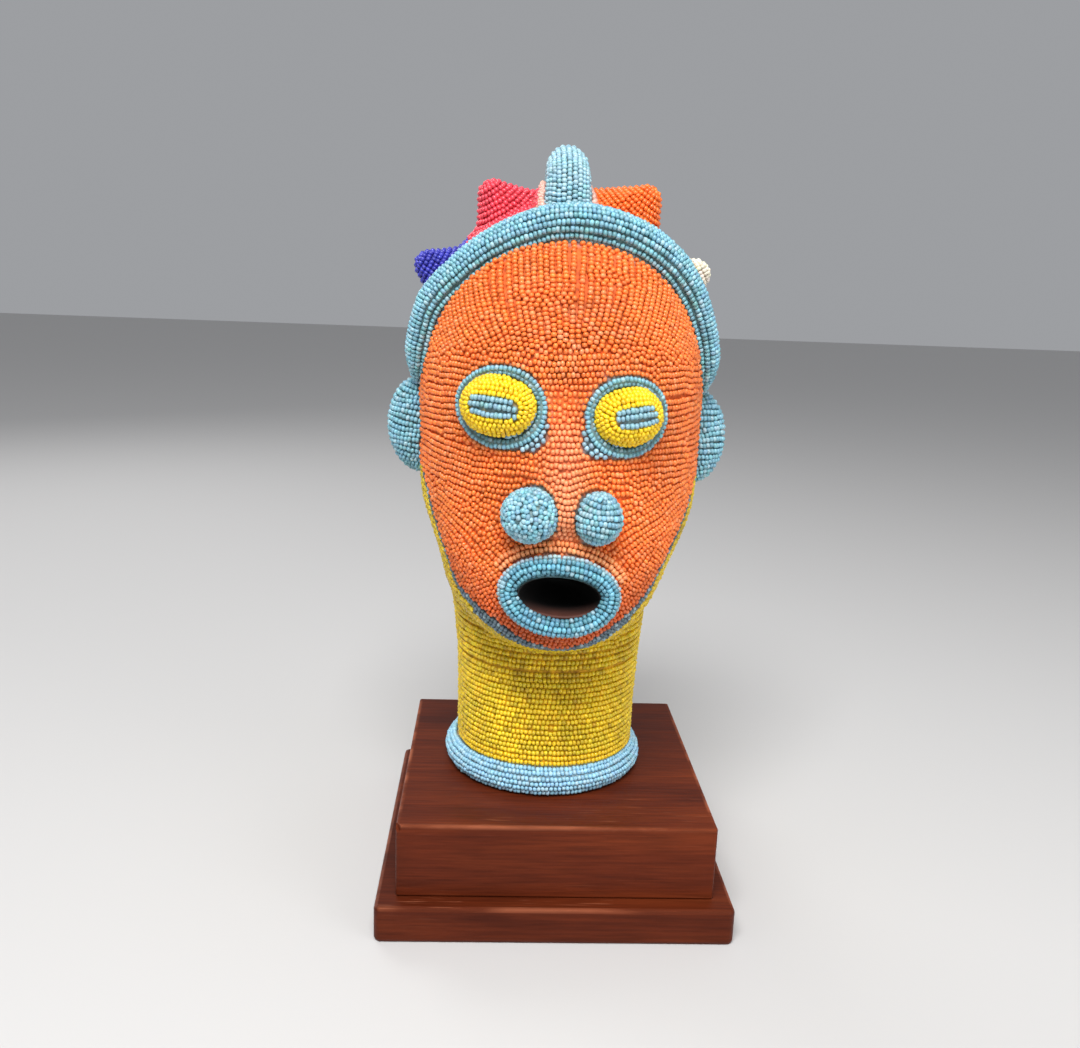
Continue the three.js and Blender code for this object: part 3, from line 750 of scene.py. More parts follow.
def ellipsoid_scale(p, at, half):
    return np.sqrt((((p - np.array(at)) / np.array(half)) ** 2).sum(-1))


def rolled(x, z, roll):
    c, s = cos_sin(roll)
    return c * x + s * z, -s * x + c * z


def covered(p, margin):
    """Where an eye, a nostril, the mouth, an ear or the band covers the skin."""
    x, y, z = p[..., 0], p[..., 1], p[..., 2]
    front = y < -20
    hit = np.zeros(x.shape, bool)
    for r in RINGS:
        grow = RING_COVER + margin
        hit |= front & (((x - r.x) / (r.a + grow)) ** 2 + ((z - r.z) / (r.b + grow)) ** 2 < 1)
    lx, lz = rolled(x - LIPS.x, z - LIPS.z, LIPS.roll)
    grow = LIPS.radius + margin
    hit |= front & ((lx / (LIPS.a + grow)) ** 2 + (lz / (LIPS.b + grow)) ** 2 < 1)
    for at, half, *_ in NOSTRILS + EARS:
        hit |= ellipsoid_scale(p, at, np.array(half) + margin) < 1
    flat = p.reshape(-1, 3)
    near = np.zeros(len(flat), bool)
    for c, r in zip(band_middle[::5], band_radius[::5]):
        near |= ((flat - c) ** 2).sum(1) < (r + margin) ** 2
    return hit | near.reshape(x.shape)


def before_band(p):
    side = np.degrees(np.arctan2(p[..., 0] - SKULL.x, np.maximum(p[..., 2] - SKULL.z, -6)))
    return p[..., 1] < band_depth(side)


def turn_level(x):
    """The height where the forehead's upright strings meet the level ones of the brow."""
    return TURN_Z - TURN_FALL * np.abs(x - FACE_X)


def knob_free(p):
    return (np.linalg.norm(p[..., None, :] - KNOB_FEET[-2:], axis=-1) > KNOB_PATCH + 0.4).all(-1)


def on_face(p, a, z, margin=0.0):
    angle = np.degrees(a)
    inside = (z > BORDER(angle)) & (np.abs(angle) < FACE_REACH) & (z < FACE_TOP)
    return inside & before_band(p) & ~covered(p, margin)


def on_forehead(p, a, z, margin=0.0):
    return on_face(p, a, z, margin) & (p[..., 2] > turn_level(p[..., 0]))


def on_cheeks(p, a, z, margin=0.0):
    return on_face(p, a, z, margin) & (p[..., 2] <= turn_level(p[..., 0]))


def on_nape(p, a, z, margin=0.0):
    angle = np.degrees(a)
    behind = (z <= BORDER(angle)) | (np.abs(angle) >= FACE_REACH) | ~before_band(p)
    return (behind & (p[..., 2] < nape_top(p[..., 0])) & (z > HEAD_BOTTOM + FOOT.height + 0.4)
            & ~covered(p, margin) & knob_free(p))


# Strings over the skin: which way they run
CHEEK_Z = [124, 138, 150, 165, 178, 190, 203]
CHEEK_SLOPE = [42, 50, 45, 33, 19, 6, 0]
CHEEK_HALF_WIDTH = 30.0
FAN_Z = 200.0


def sway(x, z, scale):
    return (math.sin(x * 0.21 + z * 0.13 + 1.3) + math.sin(z * 0.27 - x * 0.11 + 0.4)
            + math.sin(x * 0.07 - z * 0.19 + 2.2)) * scale / 3


def forehead_direction(x, z):
    """Angle of a string above the horizontal, in radians: they fan out from a point on the brow."""
    return math.atan2(z - FAN_Z, x - FACE_X) + math.radians(sway(x, z, 6))


def cheek_direction(x, z):
    across = x - FACE_X
    slope = np.interp(z, CHEEK_Z, CHEEK_SLOPE) * min(abs(across) / CHEEK_HALF_WIDTH, 1)
    return math.radians((slope if across > 0 else -slope) + sway(x, z, 8))


def level_direction(x, z):
    return 0.0


MOST_STEPS = 700
CLOSING_STEPS = 12


class Strings:
    """Evenly spaced strings over the skin, traced on the grid of angle and level."""

    def __init__(self, spacing, fixed):
        self.spacing = spacing
        self.places = Places(spacing)
        self.fixed = Places(spacing)
        for p in fixed:
            self.places.put(p)
            self.fixed.put(p)
        self.lines = []

    def look(self, a, z):
        """The skin's point at (a, z) and its two tangents, if strings may lie there."""
        fi, fj = (a - GRID_A[0]) / STEP_A, (z - GRID_Z[0]) / STEP_Z
        i, j = int(fi), int(fj)
        if j < 0 or j > len(GRID_Z) - 2:
            return None
        i = min(max(i, 0), len(GRID_A) - 2)
        u, v = fi - i, fj - j
        if not self.free[i + (u > 0.5), j + (v > 0.5)]:
            return None
        p00, p10, p01, p11 = GRID[i, j], GRID[i + 1, j], GRID[i, j + 1], GRID[i + 1, j + 1]
        p = (1 - u) * (1 - v) * p00 + u * (1 - v) * p10 + (1 - u) * v * p01 + u * v * p11
        pa = ((1 - v) * (p10 - p00) + v * (p11 - p01)) / STEP_A
        pz = ((1 - u) * (p01 - p00) + u * (p11 - p10)) / STEP_Z
        return p, pa, pz

    def step(self, a, z, found, heading, length, turn=0.0):
        """The place reached from (a, z) along the string, or across it by a right angle."""
        p, pa, pz = found
        n = np.cross(pa, pz)
        n /= math.sqrt(n @ n)
        flat = np.array([-n[1], n[0], 0.0])
        flat /= math.sqrt(flat @ flat) + 1e-9
        if flat @ pa < 0:
            flat = -flat
        up = np.cross(n, flat)
        if up[2] < 0:
            up = -up
        psi = self.direction(p[0], p[2]) + turn
        d = math.cos(psi) * flat + math.sin(psi) * up
        if heading is not None and d @ heading < 0:
            d = -d
        aa, az, zz = pa @ pa, pa @ pz, pz @ pz
        da, dz = pa @ d, pz @ d
        det = aa * zz - az * az
        if det < 1e-6:
            return None
        a += length * (da * zz - dz * az) / det
        z += length * (aa * dz - az * da) / det
        if abs(a) > math.pi:
            a -= math.copysign(2 * math.pi, a)
        return a, z, d

    def trace(self, a, z, least, first, near):
        """A string through (a, z) both ways until it meets another, or nothing if there is no room."""
        found = self.look(a, z)
        if found is None or not self.places.clear(found[0], self.spacing * first):
            return
        number = len(self.lines)
        halves, closed = [], False
        for sign in (1, -1):
            path, place, cur = [], (a, z), found
            start = self.step(a, z, found, None, 1)
            if start is None:
                return
            heading = start[2] * sign
            for index in range(1, MOST_STEPS):
                moved = self.step(*place, cur, heading, PITCH / 2)
                if moved is None:
                    break
                place, heading = moved[:2], moved[2]
                cur = self.look(*place)
                if cur is None:
                    break
                gap = cur[0] - found[0]
                if sign == 1 and index > CLOSING_STEPS and gap @ gap < (0.9 * self.spacing) ** 2:
                    closed = True
                    break
                if not self.places.clear(cur[0], self.spacing * near, number, index * sign):
                    break
                path.append((*place, cur[0]))
                self.places.put(cur[0], number, index * sign)
            halves.append(path)
            if closed:
                halves.append([])
                break
        string = halves[1][::-1] + [(a, z, found[0])] + halves[0]
        self.places.put(found[0], number, 0)
        if len(string) < least:
            for entry in string:
                self.places.take_out(entry[2], number)
            return
        self.lines.append((string, closed))

    def fill(self, seeds, least, first=0.97, near=0.85):
        """Strings from the seeds, then beside every string until no room is left, at last closer."""
        for a, z in seeds:
            self.trace(math.radians(a), z, least, first, near)
        for wide, least, first, near in ((1.01, least, first, near), (0.86, 4, 0.8, 0.74)):
            done = self.start
            while done < len(self.lines):
                string = self.lines[done][0]
                done += 1
                offset = int(rng.integers(len(string)))
                for a, z, _ in (string[offset:] + string[:offset])[::2]:
                    for side in (1, -1):
                        found = self.look(a, z)
                        if found is None:
                            continue
                        moved = self.step(a, z, found, None, self.spacing * side * wide, math.pi / 2)
                        if moved is not None:
                            self.trace(*moved[:2], least, first, near)

    def beads(self):
        """Angle, level and direction of every bead on the strings from the start on."""
        rows = []
        for string, closed in self.lines[self.start:]:
            a = np.unwrap([entry[0] for entry in string])
            z = np.array([entry[1] for entry in string])
            p = np.array([entry[2] for entry in string])
            if closed:
                a = np.append(a, a[0] + 2 * math.pi * np.sign(a[-1] - a[0]))
                z, p = np.append(z, z[0]), np.vstack([p, p[:1]])
            gone = np.concatenate([[0], np.cumsum(np.linalg.norm(np.diff(p, axis=0), axis=1))])
            if closed:
                count = int(round(gone[-1] / PITCH))
                s = (np.arange(count) + 0.5 * rng.random()) * gone[-1] / count
            else:
                s = np.linspace(0, gone[-1], int(round(gone[-1] / PITCH)) + 1)
            ahead = [np.interp(s + 0.5, gone, c) - np.interp(s - 0.5, gone, c) for c in p.T]
            rows.append(stacked(np.interp(s, gone, a), np.interp(s, gone, z), *ahead))
        rows = np.concatenate(rows)
        return rows[:, 0], rows[:, 1], unit(rows[:, 2:])

    def lay(self, region, direction, seeds, least=4):
        """The beads of one region, strung along its directions."""
        self.start = len(self.lines)
        self.free = region(GRID, GRID_A[:, None], GRID_Z[None, :], -0.6)
        self.direction = direction
        self.fill(seeds, least)
        return self.holes(*self.beads())

    def holes(self, a, z, d):
        """Single beads where the strings leave the skin bare."""
        filled = Places(self.spacing)
        for p in skin(a, z):
            filled.put(p)
        extra = []
        free = np.argwhere(self.free)
        for i, j in free[rng.permutation(len(free))]:
            p = GRID[i, j]
            if filled.clear(p, self.spacing * 0.84) and self.fixed.clear(p, self.spacing * 0.84):
                filled.put(p)
                psi = self.direction(p[0], p[2])
                pa = unit(GRID[min(i + 1, len(GRID_A) - 1), j] - GRID[max(i - 1, 0), j])
                way = math.cos(psi) * pa + np.array([0, 0, math.sin(psi)])
                extra.append((GRID_A[i], GRID_Z[j], *way))
        if extra:
            extra = np.array(extra)
            a, z = np.append(a, extra[:, 0]), np.append(z, extra[:, 1])
            d = np.vstack([d, unit(extra[:, 2:])])
        return a, z, d


def nearest(points, others, count, batch=300):
    """The nearest others of each point, itself left out."""
    index = []
    for i in range(0, len(points), batch):
        apart = ((points[i:i + batch, None] - others[None]) ** 2).sum(-1)
        apart[apart < 1e-9] = 1e9
        index.append(np.argpartition(apart, count, axis=1)[:, :count])
    return np.concatenate(index)


NEIGHBOURS = 14


def settle(a, z, d, fixed, rounds=36, room=1.09):
    """Beads moved over the skin until they lie evenly, held off the fixed ones."""
    for k in range(rounds):
        p = skin(a, z)
        pa, pz = skin_tangents(a, z)
        n = unit(np.cross(pa, pz))
        others = np.concatenate([p, fixed])
        if k % 6 == 0:
            near = nearest(p, others, NEIGHBOURS)
        u = unit(d - n * dot(d, n))
        v = np.cross(n, u)
        gap = p[:, None] - others[near]
        apart = np.hypot((gap * u[:, None]).sum(-1) / PITCH, (gap * v[:, None]).sum(-1) / ROW)
        push = np.clip(room - apart, 0, 1) / np.maximum(apart, 0.25)
        move = (gap * push[..., None]).sum(1) * 0.3
        move *= np.minimum(0.5 / np.maximum(np.linalg.norm(move, axis=1, keepdims=True), 1e-9), 1)
        aa, az, zz = dot(pa, pa), dot(pa, pz), dot(pz, pz)
        da, dz = dot(move, pa), dot(move, pz)
        det = np.maximum(aa * zz - az * az, 1e-6)
        a = a + ((da * zz - dz * az) / det)[:, 0]
        z = z + ((aa * dz - az * da) / det)[:, 0]
    return a, z, u


# Rows along the jaw's edge: offset below it, first and last angle, colour; their light blue is painted dark
# grey as painted shade under the jaw
JAW_ROWS = [(0.2, -73, 66, SHADED_JAW_BLUE), (2.4, -60, 50, SHADED_JAW_BLUE * 1.15), (4.6, -42, 36, SHADED_JAW_BLUE * 0.9)]


def jaw_row(offset, first, last):
    a = np.radians(np.linspace(first, last, 400))
    z = BORDER(np.degrees(a))
    for _ in range(6):
        z = z - (offset / 6) / np.linalg.norm((skin(a, z + 0.5) - skin(a, z - 0.5)), axis=-1)
    return skin(a, z), skin_normal(a, z)


for offset, first, last, tone in JAW_ROWS:
    blue.string(*jaw_row(offset, first, last), tone, 1.1, 0.14, 0.14)

FOREHEAD_SEEDS = ((0, 268), (-30, 262), (30, 262), (-55, 250), (55, 250))
CHEEK_SEEDS = ((0, 238), (-60, 215), (60, 215), (0, 200), (-45, 175), (45, 175), (-30, 150), (30, 150),
               (0, 168), (0, 130))
NAPE_SEEDS = ((37, 62.7), (180, 150), (-120, 200), (120, 200), (-85, 150), (85, 150))
fixed = np.concatenate([field.all()[0] for field in (blue, face, knobs)])
strings = Strings(ROW, fixed)
forehead = strings.lay(on_forehead, forehead_direction, FOREHEAD_SEEDS)
cheeks = strings.lay(on_cheeks, cheek_direction, CHEEK_SEEDS)
nape = strings.lay(on_nape, level_direction, NAPE_SEEDS)


def cloudy(p, size, seed):
    """Slow noise over space, about 0 with a spread near 1."""
    waves = np.random.default_rng(seed)
    total = 0
    for _ in range(6):
        way = unit(waves.normal(0, 1, 3)) * 2 * math.pi / (size * waves.uniform(0.7, 1.5))
        total = total + np.sin(p @ way + waves.uniform(0, 6.3))
    return total / math.sqrt(3)


def settled(rows, region, **how):
    """Place, direction and outward normal of the beads of a region once they lie evenly."""
    a, z, d = settle(*rows, fixed, **how)
    p = skin(a, z)
    kept = region(p, a, z, -0.9)
    a, z, d, p = a[kept], z[kept], d[kept], p[kept]
    return p, d, skin_normal(a, z)


def varied_radius(count):
    return BEAD_RADIUS * np.exp(rng.normal(0, 0.03, count))


def face_beads():
    p, d, n = settled([np.concatenate(pair) for pair in zip(forehead, cheeks)], on_face)
    across, count = p[:, 0] - FACE_X, len(p)
    colour = mottled(ORANGE, count, 0.1, 0.1, PALE_ORANGE) * np.exp(0.05 * cloudy(p, 30, 3))[:, None]
    # a pale column down the nose and pale beads on the brow; painted shade darkens the chin and the hollow
    # under the nose
    column = hill(across / 8, 0) * smooth(p[:, 2], 160, 168) * (1 - smooth(p[:, 2], 206, 226))
    brow = hill(across / 20, (p[:, 2] - 246) / 18) * (rng.random(count) < 0.35)
    pale = np.clip(0.65 * column + 0.4 * brow, 0, 0.8)[:, None]
    colour = colour * (1 - pale) + (0.75 * PALE_ORANGE + 0.25 * PINK) * pale
    # painted shade: the chin and the hollow under the nose are darkened in the beads' colour
    chin = (1 - smooth(p[:, 2], 130, 172))[:, None] * 0.75
    hollow = hill(across / 22, (p[:, 2] - 166) / 3.5)[:, None] * 0.3
    colour *= 1 - np.maximum(chin, hollow) * np.array([0.42, 0.66, 0.7])
    face.add(p - n * SINK, d, n, colour, varied_radius(count))


def neck_beads():
    p, d, n = settled(nape, on_nape, rounds=18, room=1.04)
    count = len(p)
    colour = mottled(YELLOW, count, 0.1) * np.exp(0.06 * cloudy(p, 24, 5))[:, None]
    # a few beads darkened to a brownish tone everywhere, and many more under the chin as painted shadow
    under_chin = hill((p[:, 0] - FACE_X) / 24, (p[:, 2] - 108) / 12) * (p[:, 1] < -20)
    brown_beads_and_chin_shade = rng.random(count) < 0.03 + 0.3 * under_chin
    colour = np.where(brown_beads_and_chin_shade[:, None], 0.65 * colour + 0.35 * BROWN, colour)
    lowest = (p[:, 2] < 67) & (p[:, 1] < 30)
    colour = np.where(lowest[:, None], 0.5 * colour + 0.5 * GOLD, colour)
    neck.add(p - n * SINK, d, n, colour, varied_radius(count))


face_beads()
neck_beads()


# Meshes: where along a bead its rings lie and how wide they are, and how uneven the beads are
BARREL = ((-0.36, 0.84), (0, 1), (0.36, 0.84))
UNEVEN = Sizes(lean=0.13, place=0.1, radius=0.04, length=0.05)


def thinned(columns, least=1.35):
    """The beads without those whose middle is too close to an earlier one's."""
    places, keep = Places(2.0), []
    for index, p in enumerate(columns[0]):
        if places.clear(p, least):
            places.put(p)
            keep.append(index)
    return [column[keep] for column in columns]


def bead_mesh(name, columns, sides):
    """One mesh of closed barrel beads, each with its own colour and its own cell of the bake map."""
    at, along, out, colour, radius = columns
    count = len(at)
    lean = rng.normal(0, UNEVEN.lean, (count, 2))
    across = np.cross(along, out)
    along = unit(along + across * lean[:, :1] + out * lean[:, 1:])
    out = unit(out - along * dot(out, along))
    across = np.cross(along, out)
    at = at + rng.normal(0, UNEVEN.place, (count, 3))
    radius = (radius * np.exp(rng.normal(0, UNEVEN.radius, count)))[:, None]
    length = (PITCH * np.exp(rng.normal(0, UNEVEN.length, count)))[:, None]
    turn = 2 * math.pi * np.arange(sides) / sides
    verts = [at - along * length * 0.5]
    for place, wide in BARREL:
        for v in turn:
            rim = out * math.cos(v) + across * math.sin(v)
            verts.append(at + along * length * place + rim * radius * wide)
    verts.append(at + along * length * 0.5)
    verts = np.stack(verts, 1)
    per = verts.shape[1]
    faces = []
    for i in range(sides):
        j = (i + 1) % sides
        faces.append((0, 1 + j, 1 + i))
        for b in (1, 1 + sides):
            faces.append((b + i, b + j, b + sides + j, b + sides + i))
        b = 1 + 2 * sides
        faces.append((b + i, b + j, per - 1))
    corners = np.array([v for f in faces for v in f])
    all_corners = (corners[None] + per * np.arange(count)[:, None]).ravel()
    totals = np.tile([len(f) for f in faces], count)
    mesh = bpy.data.meshes.new(name)
    mesh.vertices.add(count * per)
    mesh.vertices.foreach_set("co", (verts.reshape(-1) * MM).astype(np.float32))
    mesh.loops.add(len(all_corners))
    mesh.loops.foreach_set("vertex_index", all_corners.astype(np.int32))
    mesh.polygons.add(len(totals))
    mesh.polygons.foreach_set("loop_start", np.concatenate([[0], np.cumsum(totals)[:-1]]).astype(np.int32))
    mesh.update(calc_edges=True)
    mesh.polygons.foreach_set("use_smooth", np.ones(len(totals), bool))
    tint_points(mesh, np.repeat(colour, per, 0))
    side = math.ceil(math.sqrt(count))
    cell = stacked(np.arange(count) % side, np.arange(count) // side) / side
    station = np.concatenate([[0], np.repeat([1, 2, 3], sides), [4]])[corners]
    spin = np.concatenate([[0], np.tile(np.arange(sides), 3), [0]])[corners]
    local = stacked(0.3 + 0.4 * station / 4, 0.3 + 0.4 * spin / sides) / side
    layer = mesh.uv_layers.new(name="OFBake")
    layer.data.foreach_set("uv", (cell[:, None] + local[None]).reshape(-1).astype(np.float32))
    mesh.validate()
    return placed(name, mesh)


def tint_points(mesh, colour):
    tint = mesh.color_attributes.new("bead_colour", "FLOAT_COLOR", "POINT")
    rgba = np.concatenate([colour, np.ones((len(colour), 1))], 1)
    tint.data.foreach_set("color", rgba.astype(np.float32).ravel())


def placed(name, mesh):
    piece = bpy.data.objects.new(name, mesh)
    bpy.context.scene.collection.objects.link(piece)
    return piece


# Materials: small helpers for their nodes
def node_material(name):
    material = bpy.data.materials.new(name)
    material.use_nodes = True
    tree = material.node_tree
    return material, tree, tree.nodes["Principled BSDF"]


def node(tree, kind, sources=None, values=None, **settings):
    """A node with its settings, the sockets that feed its inputs, and the values of the others."""
    made = tree.nodes.new(kind)
    for key, value in settings.items():
        setattr(made, key, value)
    for key, value in (values or {}).items():
        made.inputs[key].default_value = value
    for key, socket in (sources or {}).items():
        tree.links.new(socket, made.inputs[key])
    return made


def ranged(tree, socket, low, high, to_low, to_high):
    made = node(tree, "ShaderNodeMapRange", {"Value": socket},
                {"From Min": low, "From Max": high, "To Min": to_low, "To Max": to_high})
    return made.outputs["Result"]


def noise_at(tree, place, scale, detail=2.0, **values):
    made = node(tree, "ShaderNodeTexNoise", {"Vector": place}, {"Scale": scale, "Detail": detail, **values})
    return made.outputs["Fac"]


def reckoned(tree, operation, *sockets):
    made = node(tree, "ShaderNodeMath", dict(enumerate(sockets)), operation=operation)
    return made.outputs[0]


def scaled_colour(tree, colour, amount):
    made = node(tree, "ShaderNodeVectorMath", {0: colour, "Scale": amount}, operation="SCALE")
    return made.outputs["Vector"]


def mixed(tree, share, a, b):
    """Colour a, turned into the fixed colour b by the share."""
    made = node(tree, "ShaderNodeMix", {0: share, 6: a}, {7: (*b, 1)}, data_type="RGBA")
    return made.outputs[2]


def bumped(tree, shader, height, strength, distance):
    made = node(tree, "ShaderNodeBump", {"Height": height}, {"Strength": strength, "Distance": distance})
    tree.links.new(made.outputs["Normal"], shader.inputs["Normal"])


def bead_material():
    material, tree, shader = node_material("glass_bead")
    colour = node(tree, "ShaderNodeAttribute", attribute_name="bead_colour").outputs["Color"]
    place = node(tree, "ShaderNodeTexCoord").outputs["Object"]
    light = ranged(tree, noise_at(tree, place, 900.0), 0.3, 0.7, 0.9, 1.1)
    tree.links.new(scaled_colour(tree, colour, light), shader.inputs["Base Color"])
    rough = ranged(tree, noise_at(tree, place, 240.0, 1.0), 0.3, 0.7, 0.22, 0.4)
    tree.links.new(rough, shader.inputs["Roughness"])
    shader.inputs["IOR"].default_value = 1.52
    return material


def dress(piece, material, replaces):
    piece.data.materials.clear()
    piece.data.materials.append(material)
    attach(piece, "root")
    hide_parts(replaces)


FIELDS = {"beads_face": (face, 7), "beads_neck": (neck, 6), "beads_pale_blue": (blue, 7),
          "beads_skull": (knobs, 6), "beads_eyes": (eyes, 8)}
MOST_TRIANGLES = 190000
glass = bead_material()
everything = []
for name, (field, sides) in FIELDS.items():
    columns = thinned(field.all())
    everything.append(columns)
    count = len(columns[0])
    parts = math.ceil(count * sides * 6 / MOST_TRIANGLES)
    for part in range(parts):
        chosen = [column[count * part // parts:count * (part + 1) // parts] for column in columns]
        piece = bead_mesh(name if parts == 1 else f"{name}_{part + 1}", chosen, sides)
        dress(piece, glass, "beaded_head")

# The ground under the beads: how deep it lies, its longest edge and its tone against the beads', darker as
# painted shade between them
GROUND_SINK = 1.1
GROUND_EDGE = 6.0
GROUND_SHADE = np.array([0.78, 0.6, 0.52])


def bead_ground():
    """The solid head drawn in a little, in the colour of the beads that lie on it, darkened as painted
    shade between them.
    """
    copy = bmesh.new()
    copy.from_mesh(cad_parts["beaded_head"].data)
    bmesh.ops.remove_doubles(copy, verts=copy.verts, dist=2e-6)
    copy.normal_update()
    for v in copy.verts:
        z = v.co.z
        v.co -= v.normal * GROUND_SINK * MM
        if z < (HEAD_BOTTOM + 0.05) * MM:
            v.co.z = z + 0.1 * MM
    for _ in range(2):
        long = [edge for edge in copy.edges if edge.calc_length() > GROUND_EDGE * MM]
        bmesh.ops.subdivide_edges(copy, edges=long, cuts=1)
    bmesh.ops.triangulate(copy, faces=copy.faces)
    mesh = bpy.data.meshes.new("bead_ground")
    copy.to_mesh(mesh)
    copy.free()
    for attribute in list(mesh.color_attributes):
        mesh.color_attributes.remove(attribute)
    co = np.array([v.co for v in mesh.vertices]) / MM
    at = np.concatenate([c[0] for c in everything])
    colours = np.concatenate([c[3] for c in everything])
    # each point takes the nearest bead's colour darkened by GROUND_SHADE: painted shade between the beads
    tint_points(mesh, colours[nearest(co, at, 1)[:, 0]] * GROUND_SHADE)
    mesh.polygons.foreach_set("use_smooth", np.zeros(len(mesh.polygons), bool))
    return placed("bead_ground", mesh)


def ground_material():
    material, tree, shader = node_material("waxed_thread_painted_shade")
    colour = node(tree, "ShaderNodeAttribute", attribute_name="bead_colour").outputs["Color"]
    place = node(tree, "ShaderNodeTexCoord").outputs["Object"]
    weave = noise_at(tree, place, 500.0, 3.0)
    shade = ranged(tree, weave, 0.3, 0.7, 0.6, 1.2)
    tree.links.new(scaled_colour(tree, colour, shade), shader.inputs["Base Color"])
    shader.inputs["Roughness"].default_value = 0.85
    bumped(tree, shader, weave, 0.4, 0.0004)
    return material


LINING = Sizes(rings=22, sides=48, first=4, last=77, inside=-0.25, outside=0.9)


def mouth_lining():
    """The bare wood inside the mouth, a thin shell in the hollow, behind the lips."""
    polar = np.radians(np.linspace(LINING.first, LINING.last, LINING.rings + 1))[:, None]
    around = full_circle(LINING.sides)
    c, s = cos_sin(MOUTH.roll)
    shells = []
    for grow in (LINING.inside, LINING.outside):
        half = np.array(MOUTH.half) + grow
        x, z = half[0] * np.sin(polar) * np.cos(around), half[2] * np.sin(polar) * np.sin(around)
        shells.append(stacked(x * c - z * s, half[1] * np.cos(polar), x * s + z * c) + MOUTH.at)
    points = np.array(shells)
    inner, outer = np.arange(points[..., 0].size).reshape(points.shape[:3])
    faces = []
    for rows, way in ((inner, -1), (outer, 1)):
        ahead = np.roll(rows, -1, 1)
        quads = stacked(rows[:-1], ahead[:-1], ahead[1:], rows[1:]).reshape(-1, 4)
        faces += quads[:, ::way].tolist() + [rows[0, ::-way].tolist()]
    faces += stacked(outer[-1], np.roll(outer[-1], -1), np.roll(inner[-1], -1), inner[-1]).tolist()
    mesh = bpy.data.meshes.new("mouth_lining")
    mesh.from_pydata((points.reshape(-1, 3) * MM).tolist(), [], faces)
    mesh.polygons.foreach_set("use_smooth", np.ones(len(mesh.polygons), bool))
    return placed("mouth_lining", mesh)


def lining_material():
    material, tree, shader = node_material("mouth_wood_painted_shadow")
    place = node(tree, "ShaderNodeTexCoord").outputs["Object"]
    parts = node(tree, "ShaderNodeSeparateXYZ", {"Vector": place})
    # painted shadow inside the mouth: near-black deep in the hollow and in its upper part, wood colour only
    # near the opening's lower side
    depth = ranged(tree, parts.outputs["Y"], -0.07, -0.058, 1.0, 0.0)
    low = ranged(tree, parts.outputs["Z"], 0.1405, 0.1455, 1.0, 0.0)
    grain = ranged(tree, noise_at(tree, place, 160.0, 4.0), 0.3, 0.7, 0.7, 1.15)
    share = reckoned(tree, "MULTIPLY", reckoned(tree, "MULTIPLY", depth, low), grain)
    painted_mouth_shadow = node(tree, "ShaderNodeRGB")
    painted_mouth_shadow.outputs[0].default_value = (0.0025, 0.0015, 0.0012, 1)
    colour = mixed(tree, share, painted_mouth_shadow.outputs[0], linear(94, 48, 34))
    tree.links.new(colour, shader.inputs["Base Color"])
    shader.inputs["Roughness"].default_value = 0.7
    return material


dress(bead_ground(), ground_material(), "beaded_head")
dress(mouth_lining(), lining_material(), "beaded_head")

# Plinth wood
# pale edge colour: wear, and a painted highlight along the edges
WORN_AND_HIGHLIT_WOOD = linear(170, 98, 68)
SCRATCHED_WOOD = linear(178, 110, 80)
# Where along the grain's noise each colour stands
WOOD_STOPS = [(0.28, (68, 24, 10)), (0.5, (92, 36, 16)), (0.74, (112, 48, 22))]


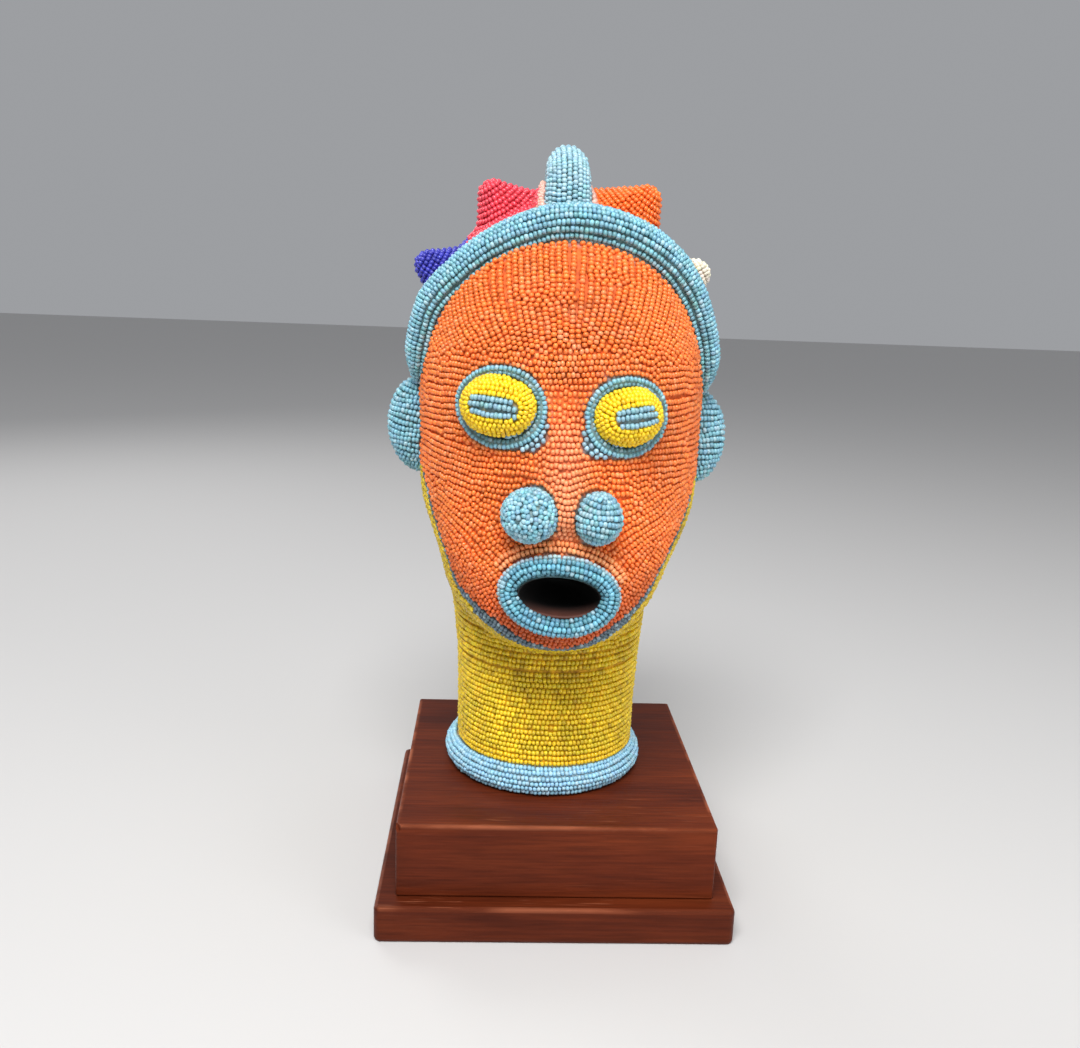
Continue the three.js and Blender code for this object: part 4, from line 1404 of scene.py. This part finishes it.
def wood_material(name, half_side, top, tone):
    material, tree, shader = node_material(name)
    place = node(tree, "ShaderNodeTexCoord").outputs["Object"]

    def stretched(size, turn=0.0):
        made = node(tree, "ShaderNodeMapping", {"Vector": place}, {"Scale": size, "Rotation": (0, 0, turn)})
        return made.outputs["Vector"]

    grain = noise_at(tree, stretched((6, 55, 70)), 1.0, 9.0, Roughness=0.6, Distortion=0.5)
    pores = noise_at(tree, stretched((40, 900, 900)), 1.0, 3.0)
    broad = noise_at(tree, place, 14.0, 2.0)
    ramp = node(tree, "ShaderNodeValToRGB", {"Fac": grain})
    ramp.color_ramp.elements.new(0.5)
    for element, (position, rgb) in zip(ramp.color_ramp.elements, WOOD_STOPS):
        element.position = position
        element.color = (*(linear(*rgb) * tone), 1)
    shade = reckoned(tree, "MULTIPLY", ranged(tree, pores, 0.3, 0.62, 0.74, 1.08),
                     ranged(tree, broad, 0.3, 0.7, 0.86, 1.14))
    colour = scaled_colour(tree, ramp.outputs["Color"], shade)

    # worn edges, paler also as a painted highlight along them: close to the top face and to a side at once
    parts = node(tree, "ShaderNodeSeparateXYZ", {"Vector": place})
    out = reckoned(tree, "MAXIMUM", reckoned(tree, "ABSOLUTE", parts.outputs["X"]),
                   reckoned(tree, "ABSOLUTE", parts.outputs["Y"]))
    reach = reckoned(tree, "ADD", out, parts.outputs["Z"])
    rim = (half_side + top) * MM
    edge = ranged(tree, reach, rim - 0.0019, rim - 0.0006, 0.0, 0.75)
    patchy = ranged(tree, noise_at(tree, stretched((20, 90, 90)), 1.0, 4.0), 0.4, 0.62, 0.12, 1.0)
    colour = mixed(tree, reckoned(tree, "MULTIPLY", edge, patchy), colour, WORN_AND_HIGHLIT_WOOD)

    # thin scratches, mostly across the front of the top
    ahead = ranged(tree, parts.outputs["Y"], -0.03, -0.06, 0.25, 1.0)
    level = ranged(tree, parts.outputs["Z"], (top - 1) * MM, (top - 0.3) * MM, 0.12, 1.0)
    front = reckoned(tree, "MULTIPLY", ahead, level)
    for turn, fineness in ((0.5, 31), (-0.35, 43), (1.2, 27)):
        fine = noise_at(tree, stretched((fineness, 1400, 1400), turn), 1.0, 1.0)
        patch = ranged(tree, noise_at(tree, place, 16.0 + fineness), 0.52, 0.66, 0.0, 0.5)
        scratch = reckoned(tree, "MULTIPLY", ranged(tree, fine, 0.68, 0.74, 0.0, 1.0), patch)
        colour = mixed(tree, reckoned(tree, "MULTIPLY", scratch, front), colour, SCRATCHED_WOOD)
    tree.links.new(colour, shader.inputs["Base Color"])
    tree.links.new(ranged(tree, grain, 0.3, 0.7, 0.36, 0.5), shader.inputs["Roughness"])
    shader.inputs["Specular IOR Level"].default_value = 0.12
    bumped(tree, shader, pores, 0.25, 0.0003)
    return material


# Name, half side, top and tone
PLINTH = [("plinth_slab", 75, 16, 0.85), ("plinth_block", 66.75, 48.7, 0.95)]
for name, half_side, top, tone in PLINTH:
    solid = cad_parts[name]
    solid.data.materials.clear()
    solid.data.materials.append(wood_material(name + "_wood", half_side, top, tone))

# Floor, light and camera
FLOOR_HALF = 6
floor_mesh = bpy.data.meshes.new("floor")
corners = [(x * FLOOR_HALF, y * FLOOR_HALF, 0) for x, y in ((-1, -1), (1, -1), (1, 1), (-1, 1))]
floor_mesh.from_pydata(corners, [], [(0, 1, 2, 3)])
floor = placed("floor", floor_mesh)
pale_floor, _, pale_shader = node_material("pale_floor")
pale_shader.inputs["Base Color"].default_value = (0.62, 0.61, 0.6, 1)
pale_shader.inputs["Roughness"].default_value = 0.8
floor_mesh.materials.append(pale_floor)

world = bpy.data.worlds.new("studio")
world.use_nodes = True
world.node_tree.nodes["Background"].inputs["Color"].default_value = (0.84, 0.86, 0.9, 1)
world.node_tree.nodes["Background"].inputs["Strength"].default_value = 0.4
bpy.context.scene.world = world


def area_light(name, at, target, size, power):
    data = bpy.data.lights.new(name, "AREA")
    data.shape = "RECTANGLE"
    data.size, data.size_y = size
    data.energy = power
    lamp = bpy.data.objects.new(name, data)
    bpy.context.scene.collection.objects.link(lamp)
    lamp.location = at
    lamp.rotation_euler = (Vector(target) - Vector(at)).to_track_quat("-Z", "Y").to_euler()


area_light("key", (-0.15, -0.75, 1.15), (0, 0, 0.2), (0.7, 0.4), 19.5)
area_light("fill", (0.9, -0.8, 0.45), (0, 0, 0.18), (0.7, 0.7), 4)
area_light("back", (-0.7, 0.9, 0.9), (0, 0, 0.2), (0.6, 0.6), 4)

# The photograph's camera: it looks past +Y by the turn toward +X, down by the dip, and leans by the roll
CAMERA = Sizes(at=(-30.1, -451.5, 265.2), turn=2.66, dip=12.91, roll=2.15, lens=34.3, sensor=36)
turn, dip, roll = np.radians([CAMERA.turn, CAMERA.dip, CAMERA.roll])
view = Vector((math.sin(turn) * math.cos(dip), math.cos(turn) * math.cos(dip), -math.sin(dip)))
level_right = Vector((math.cos(turn), -math.sin(turn), 0))
upright = level_right.cross(view) * math.cos(roll) - level_right * math.sin(roll)
camera_data = bpy.data.cameras.new("camera")
camera_data.sensor_fit = "HORIZONTAL"
camera_data.sensor_width = CAMERA.sensor
camera_data.lens = CAMERA.lens
camera = bpy.data.objects.new("camera", camera_data)
bpy.context.scene.collection.objects.link(camera)
turn_to = Matrix((view.cross(upright), upright, -view)).transposed().to_4x4()
camera.matrix_world = Matrix.Translation(Vector(CAMERA.at) * MM) @ turn_to
bpy.context.scene.camera = camera
bpy.context.scene.view_settings.view_transform = "Standard"
